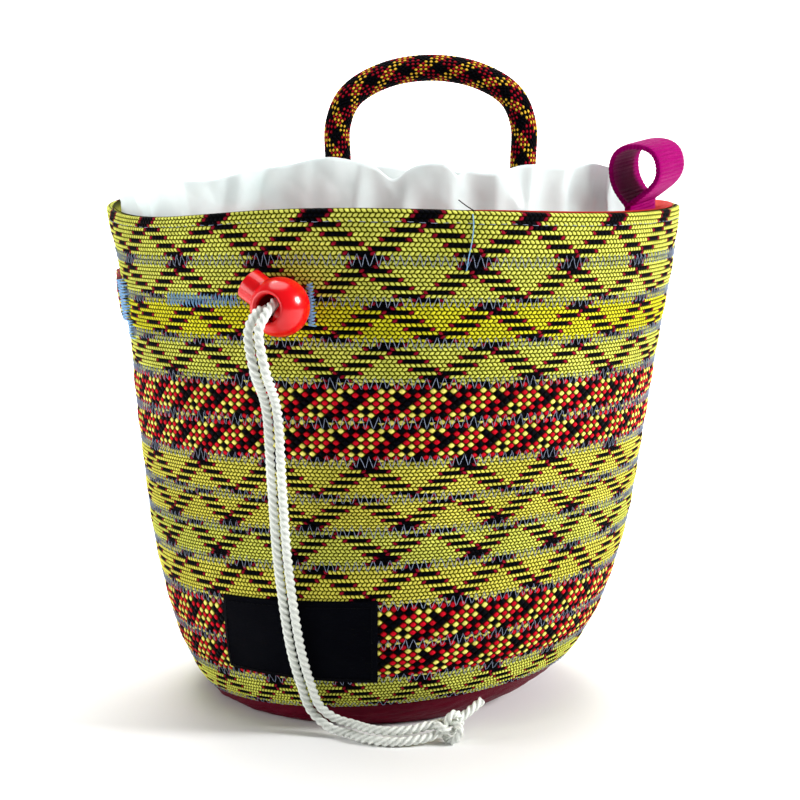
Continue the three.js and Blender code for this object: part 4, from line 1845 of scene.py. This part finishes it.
@dataclass
class LabelPatch:
    """Bare woven label near the base, sewn down along its edges."""

    wall: BagWall
    start: float = math.radians(-41.3)
    end: float = math.radians(-2.5)
    splay: float = math.radians(3.7)
    top: float = 0.1515
    width: float = 0.035
    slant: float = 0.0025
    thickness: float = 0.001
    columns: int = 120
    rows: int = 60

    def build(self) -> None:
        """Build and dress the label and the stitches along its edges."""
        slack = Crumple(21, 0.05, 2)
        wide = (self.end - self.start) * float(self.wall.radius(self.top))
        grid = ClothGrid("label_cloth", self.columns, self.rows, wide, self.width)
        lift = self.wall.stand_off + self.thickness

        def form(share: Array, across: Array) -> Array:
            """Position on the label, drawn down at its edges."""
            edge = np.minimum(np.minimum(share, 1 - share) * wide, np.minimum(across, 1 - across) * self.width)
            drawn = 0.0006 * np.exp(-((edge / 0.0012) ** 2))
            soft = 0.00018 * slack.height(share * wide, across * self.width) * np.clip(edge / 0.006, 0, 1)
            return self._seat(share, 1 - across, lift - drawn + soft)

        piece = thicken(grid.lay(form, closed=False), self.thickness * 0.8)
        dress(piece, LABEL_CLOTH, stands_for=["label_patch"])
        self._stitch(wide)

    def _stitch(self, wide: float) -> None:
        """Sew along the label's four edges.

        Args:
            wide: Length of the label.
        """
        inset, pitch, points = 0.0022, 0.0026, 8
        corners = np.array([
            (inset, inset), (wide - inset, inset), (wide - inset, self.width - inset),
            (inset, self.width - inset), (inset, inset),
        ])
        runs = lengths_along(corners)
        count = round(runs[-1] / pitch)
        step = np.arange(count * points + 1) / points
        place = sample(step / count * runs[-1], runs, corners).T
        dip = np.abs(2 * (step % 1) - 1) ** 8
        lift = self.wall.stand_off + self.thickness
        path = self._seat(place[0] / wide, place[1] / self.width, lift + 0.0001 - 0.0006 * dip)
        path[-1] = path[0]
        sew("label_stitch", path, unit(path * (1, 1, 0)), 0.00018, DARK_THREAD)

    def _seat(self, share: Array, below: Array, out: Array) -> Array:
        """Points on the wall from shares of the label's length and of its height from the top.

        Args:
            share: Shares of the length.
            below: Shares of the height.
            out: Stand-offs.

        Returns:
            One point per row.
        """
        start = self.start - self.splay * below
        azimuth = start + (self.end - start) * share
        height = self.width + self.slant * (2 * share - 1)
        return self.wall.point(azimuth, self.top + height * below, out)


# Cord lock and drawcord


@dataclass
class LockSeat:
    """Place and axes of the cord lock: X presses the plunger out, Z is the cord hole."""

    wall: BagWall
    azimuth: float = math.radians(-19)
    turn: float = math.radians(-9)
    rise: float = math.radians(32)
    radius: float = 0.0112
    centre: Array = field(init=False)
    press: Array = field(init=False)
    pair: Array = field(init=False)
    cord: Array = field(init=False)

    def __post_init__(self) -> None:
        """Work out the centre and the axes."""
        heading = np.asarray(self.azimuth + self.turn)
        self.cord = outward(heading)
        self.press = -along_rim(heading) * math.cos(self.rise) + UP * math.sin(self.rise)
        self.pair = np.cross(self.cord, self.press)
        self.centre = self.wall.point(self.azimuth, self.wall.seam(2), self.radius + self.wall.gap)

    def place(self, piece: bpy.types.Object) -> None:
        """Move a mesh from the lock's own axes to its place."""
        turn = Matrix(np.stack([self.press, self.pair, self.cord], axis=1).tolist()).to_4x4()
        piece.data.transform(Matrix.Translation(Vector(self.centre.tolist())) @ turn)


@dataclass
class CordLock:
    """Ball cord lock with its spring plunger."""

    seat: LockSeat
    hole: float = 0.0052
    lip: float = 0.0011
    bore: float = 0.0065
    bore_floor: float = -0.008
    bore_end: float = 0.03
    plunger: float = 0.0062
    root: float = -0.0047
    reach: float = 0.0158
    tip: float = 0.0007
    dish: float = 0.0003
    slot: tuple[float, float, float] = (-0.0023, 0.0073, 0.0088)
    steps: int = 96

    def build(self) -> None:
        """Build and dress the ball and the plunger."""
        ball, plunger = self._ball(), self._plunger()
        for piece in (ball, plunger):
            self.seat.place(piece)
            piece.data.shade_smooth()
            piece.data.set_sharp_from_angle(angle=math.radians(38))
        dress(ball, LOCK_PLASTIC, stands_for=["lock_body"])
        dress(plunger, LOCK_PLASTIC, Body.PLUNGER, stands_for=["lock_plunger"])

    def _ball(self) -> bpy.types.Object:
        """Ball with its cord hole and the plunger's bore.

        Returns:
            The ball's object, on the lock's own axes.
        """
        radius, lip = self.seat.radius, self.lip
        lip_height = math.sqrt((radius - lip) ** 2 - (self.hole + lip) ** 2)
        lean = math.atan2(lip_height, self.hole + lip)
        skin = [(radius * math.cos(a), radius * math.sin(a)) for a in np.linspace(-lean, lean, 49)]
        curl = [
            (self.hole + lip + lip * math.cos(a), lip_height + lip * math.sin(a))
            for a in np.linspace(lean, math.pi, 9)[1:]
        ]
        wall = [(self.hole, height) for height in np.linspace(lip_height, -lip_height, 9)[1:-1]]
        lower = [(r, -z) for r, z in reversed(curl)]
        ball = spun("lock_ball", skin + curl + wall + lower, self.steps)
        cut(ball, self._bore())
        return ball

    def _plunger(self) -> bpy.types.Object:
        """Plunger with a rounded end and the slot that the cord passes through.

        Returns:
            The plunger's object, on the lock's own axes.
        """
        radius, tip = self.plunger, self.tip
        curl = [
            (radius - tip + tip * math.cos(a), self.reach - tip + tip * math.sin(a))
            for a in np.linspace(0, math.pi / 2, 7)
        ]
        dish = [(radius * share, self.reach - self.dish) for share in (0.72, 0.36, 0.0)]
        plunger = spun("lock_plunger_pin", [(0.0, self.root), (radius, self.root), *curl, *dish], 72)
        plunger.data.transform(Matrix.Rotation(math.pi / 2, 4, "Y"))
        low, high, wide = self.slot
        work = bmesh.new()
        bmesh.ops.create_cube(work, size=1.0)
        bmesh.ops.scale(work, vec=(high - low, wide, 0.05), verts=work.verts)
        bmesh.ops.translate(work, vec=((low + high) / 2, 0, 0), verts=work.verts)
        cut(plunger, settle("slot_cutter", work))
        return plunger

    def _bore(self) -> bpy.types.Object:
        """Round cutter of the plunger's bore, along X and past the ball.

        Returns:
            The cutter's object.
        """
        start, end = self.bore_floor, self.bore_end
        work = bmesh.new()
        bmesh.ops.create_cone(
            work, cap_ends=True, segments=72, radius1=self.bore, radius2=self.bore, depth=end - start
        )
        bmesh.ops.rotate(work, cent=(0, 0, 0), matrix=Matrix.Rotation(math.pi / 2, 3, "Y"), verts=work.verts)
        bmesh.ops.translate(work, vec=((start + end) / 2, 0, 0), verts=work.verts)
        return settle("bore_cutter", work)


@dataclass
class Drawcord:
    """Pair of three-strand cords from the lock to the knot."""

    seat: LockSeat
    diameter: float = 0.0038
    pair_half: float = 0.0022
    in_hole: float = 0.001
    floor_lean: Point = (0.0, -0.8, 0.6)
    lay_length: float = 0.0092
    groove: float = 0.66
    sides: int = 27
    steps: int = 620
    down_wall: tuple[Point, ...] = (
        (-0.0481, -0.1367, 0.1526), (-0.0448, -0.1240, 0.137), (-0.0438, -0.1118, 0.106),
        (-0.0424, -0.1010, 0.073), (-0.0384, -0.0940, 0.039), (-0.0346, -0.0885, 0.022), (-0.0307, -0.0855, 0.0107),
    )
    on_floor: tuple[Point, ...] = (
        (-0.0239, -0.0868, 0.0053), (-0.0164, -0.0899, 0.0038), (-0.0110, -0.0950, 0.0037),
        (-0.0030, -0.0990, 0.0037), (0.0065, -0.0994, 0.0042), (0.0155, -0.0973, 0.0056),
    )
    knot: Point = (0.0226, -0.0956, 0.0065)
    knot_axis: Point = (0.94, 0.28, 0.2)
    knot_size: float = 0.00185
    knot_lean: tuple[float, float] = (0.6, 0.8)
    into_knot: float = 0.45
    tail_route: tuple[Point, ...] = (
        (0.0284, -0.0922, 0.0104), (0.0318, -0.0902, 0.0126), (0.0354, -0.0880, 0.0150),
    )

    def build(self) -> None:
        knot, tail = self._knot(), self._tail()
        for name, side, pieces in (("left", 1, []), ("right", -1, [knot, tail])):
            path = spline_through(self._strand(side), self.steps)
            piece = self._twisted(f"drawcord_{name}_cord", path)
            dress(piece, CORD_YARN, stands_for=[f"drawcord_{name}"])

    def _strand(self, side: int) -> Array:
        """Points of one strand.

        Args:
            side: 1 for the left strand, -1 for the right one.

        Returns:
            One point per row.
        """
        seat = self.seat
        hole = seat.centre + seat.press * self.in_hole

        def towards(start: Array, end: Array, share: float) -> Array:
            """Direction between two others."""
            return start + (end - start) * share

        threaded = [
            (-0.0106, 0.0, seat.press),
            (0.0, 0.0, seat.press),
            (0.0052, 0.0, towards(seat.press, UP, 0.35)),
            (0.0084, 0.0007, towards(seat.press, UP, 0.74)),
            (0.0124, 0.0028, towards(UP, seat.cord, 0.66)),
            (0.0169, 0.0085, towards(UP, seat.cord, 0.85)),
        ]
        points = [hole + seat.cord * along - UP * drop for along, drop, _ in threaded]
        middle = np.array([*points, *self.down_wall, *self.on_floor])
        normals = [normal for _, _, normal in threaded]
        normals += [(x, y, 0.0) for x, y, _ in self.down_wall] + [self.floor_lean] * len(self.on_floor)
        ahead = np.vstack([middle[1:], middle[-1:]]) - np.vstack([middle[:1], middle[:-1]])
        rows = middle + unit(np.cross(ahead, np.array(normals))) * self.pair_half * side
        return np.vstack([rows, rows[-1] + (np.array(self.knot) - rows[-1]) * self.into_knot])

    def _twisted(self, name: str, path: Array, scale: float = 1.0) -> bpy.types.Object:
        """Three-strand cord along a path.

        Args:
            name: Name of the object.
            path: Centre line.
            scale: Share of the full thickness.

        Returns:
            The new object.
        """
        strand = self.diameter / THREE_STRANDS / 2 * scale
        centre = self.diameter / 2 * scale - strand
        length = float(lengths_along(path)[-1])
        turns = length / self.lay_length

        def strand_turn(share: Array, turn: Array) -> Array:
            """Angle from the crown of the nearest strand."""
            angle = (turn + share * turns) % (1 / 3) * TURN
            return angle - TURN / 6

        def radius(share: Array, turn: Array) -> Array:
            """Radius over the twisted strands."""
            angle = strand_turn(share, turn)
            inner = np.maximum(strand**2 - (centre * np.sin(angle)) ** 2, 0.0)
            return np.maximum(centre * np.cos(angle) + np.sqrt(inner), self.groove * self.diameter / 2 * scale)

        tube = Tube(name, path, carried_normals(path, np.array([0.3, 0.5, 0.8])), self.sides)
        # The relief over the strands sets the cord's painted groove shade
        return tube.lay(radius, height=lambda share, turn: 1 - np.abs(strand_turn(share, turn)) / (TURN / 6))

    def _knot(self) -> bpy.types.Object:
        """Overhand knot that the pair ends in.

        Returns:
            The knot's object.
        """
        angle = np.linspace(0, TURN, 241)
        loop = self.knot_size * np.stack(
            [np.sin(angle) + 2 * np.sin(2 * angle), np.cos(angle) - 2 * np.cos(2 * angle), -1.7 * np.sin(3 * angle)],
            axis=1,
        )
        along = unit(np.array(self.knot_axis))
        sideways = unit(np.cross(UP, along))
        upwards = np.cross(along, sideways)
        face = unit(upwards * self.knot_lean[0] + np.cross(along, upwards) * self.knot_lean[1])
        third = np.cross(face, along)
        path = np.array(self.knot) + loop @ np.stack([along, third, face])
        path[-1] = path[0]
        piece = self._twisted("drawcord_overhand_knot", path, 0.86)
        return dress(piece, CORD_YARN, stands_for=["drawcord_knot"])

    def _tail(self) -> bpy.types.Object:
        """Short end of cord that stands out of the knot.

        Returns:
            The end's object.
        """
        start = np.array(self.knot) + (np.array(self.tail_route[0]) - np.array(self.knot)) * self.into_knot
        path = spline_through(np.vstack([start, np.array(self.tail_route)]), 40)
        piece = self._twisted("drawcord_end", path, 0.95)
        return dress(piece, CORD_YARN, stands_for=["drawcord_tail"])


# Studio


@dataclass(frozen=True)
class Softbox:
    """Round area light: where it stands, its diameter, its power in watts and what it looks at."""

    name: str
    place: Point
    size: float
    power: float
    aim: Point = (0.0, 0.0, 0.12)

    def build(self) -> None:
        """Place the light in the scene."""
        light = bpy.data.lights.new(self.name, "AREA")
        light.shape, light.size, light.energy = "DISK", self.size, self.power
        lamp = bpy.data.objects.new(self.name, light)
        lamp.location = self.place
        lamp.rotation_euler = (Vector(self.aim) - Vector(self.place)).to_track_quat("-Z", "Y").to_euler()
        bpy.context.scene.collection.objects.link(lamp)


@dataclass
class Studio:
    """Camera, floor and soft light of the photograph."""

    eye: Point = (0.0028, -0.8, 0.2255)
    pitch: float = 0.126
    lens: float = 82.98
    sweep: Point = (5.0, 2.0, 1.2)
    paper: float = 0.93
    sky: float = 0.17
    softboxes: tuple[Softbox, ...] = (
        Softbox("key_softbox", (1.3, -0.32, 0.7), 0.45, 26.0),
        Softbox("fill_softbox", (-1.15, -0.3, 0.25), 0.9, 10.0),
        Softbox("top_softbox", (-0.1, 0.1, 1.5), 1.2, 13.0),
        Softbox("backdrop_softbox", (0.0, 0.9, 1.9), 1.6, 150.0, (0.0, 3.2, 0.3)),
    )

    def build(self) -> None:
        """Set up the camera, the floor, the lights and the world."""
        camera = bpy.data.cameras.new("photo_camera")
        camera.lens, camera.sensor_width = self.lens, 36.0
        camera.clip_start, camera.clip_end = 0.01, 50.0
        stand = bpy.data.objects.new("photo_camera", camera)
        stand.location, stand.rotation_euler = self.eye, (math.pi / 2 - self.pitch, 0.0, 0.0)
        bpy.context.scene.collection.objects.link(stand)
        bpy.context.scene.camera = stand
        self._floor()
        for softbox in self.softboxes:
            softbox.build()
        world = bpy.data.worlds.new("studio_white")
        world.use_nodes = True
        sky = next(node for node in world.node_tree.nodes if node.type == "BACKGROUND")
        sky.inputs["Color"].default_value = (1.0, 1.0, 1.0, 1.0)
        sky.inputs["Strength"].default_value = self.sky
        bpy.context.scene.world = world
        bpy.context.scene.view_settings.view_transform = "Standard"

    def _floor(self) -> None:
        """Pale paper sweep that the bag stands on, curved up behind it."""
        half, straight, bend = self.sweep
        angles = np.linspace(-math.pi / 2, 0, 17)
        profile = [(-half, 0.0), (0.0, 0.0)]
        profile += [(straight + bend * math.cos(a), bend + bend * math.sin(a)) for a in angles]
        profile.append((straight + bend, half))
        work = bmesh.new()
        points = [work.verts.new((-half, y, z)) for y, z in profile]
        edges = [work.edges.new(pair) for pair in zip(points, points[1:])]
        pulled = bmesh.ops.extrude_edge_only(work, edges=edges)["geom"]
        moved = [item for item in pulled if isinstance(item, bmesh.types.BMVert)]
        bmesh.ops.translate(work, vec=(2 * half, 0, 0), verts=moved)
        bmesh.ops.recalc_face_normals(work, faces=work.faces)
        floor = settle("studio_floor", work)
        floor.data.shade_smooth()
        material = bpy.data.materials.new("floor_paper")
        material.use_nodes = True
        shader = next(node for node in material.node_tree.nodes if node.type == "BSDF_PRINCIPLED")
        shader.inputs["Base Color"].default_value = (self.paper, self.paper, self.paper, 1.0)
        shader.inputs["Roughness"].default_value = 0.8
        floor.data.materials.append(material)


def main() -> None:
    """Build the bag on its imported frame."""
    logging.basicConfig(level=logging.INFO, format="%(message)s")
    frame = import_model()
    LOG.info("frame: %d nodes", len(frame["nodes"]))
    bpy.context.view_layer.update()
    Studio().build()
    wall = BagWall()
    seat = LockSeat(wall)
    Drawcord(seat).build()
    CordLock(seat).build()
    for number in range(1, wall.band_count + 1):
        RopeBand(wall, number, CROSSINGS.get(number)).build()
    for number in range(1, wall.band_count):
        ZigzagSeam(wall, f"seam_stitch_{number:02d}", number).build()
    ZigzagSeam(wall, "base_stitch", wall.band_count, reach=0.0016, shift=-0.0022).build()
    ZigzagSeam(
        wall, "lock_stitch", 2, math.radians(-49), math.radians(-30), 0.0019, 0.0028, 0.00016, 0.001, TACK_THREAD
    ).build()
    LooseThread(wall).build()
    RunningStitch(wall).build()
    BasePanel(wall).build()
    Lining(wall).build()
    DrawstringCollar(wall).build()
    CarryHandle(wall).build()
    HangLoop(wall).build()
    BrushLoop(wall).build()
    LabelPatch(wall).build()
    Bartack(wall, "cord_tack", math.radians(-15.0), 0.0275, 0.016, 0.0034).build()


if __name__ == "__main__":
    main()
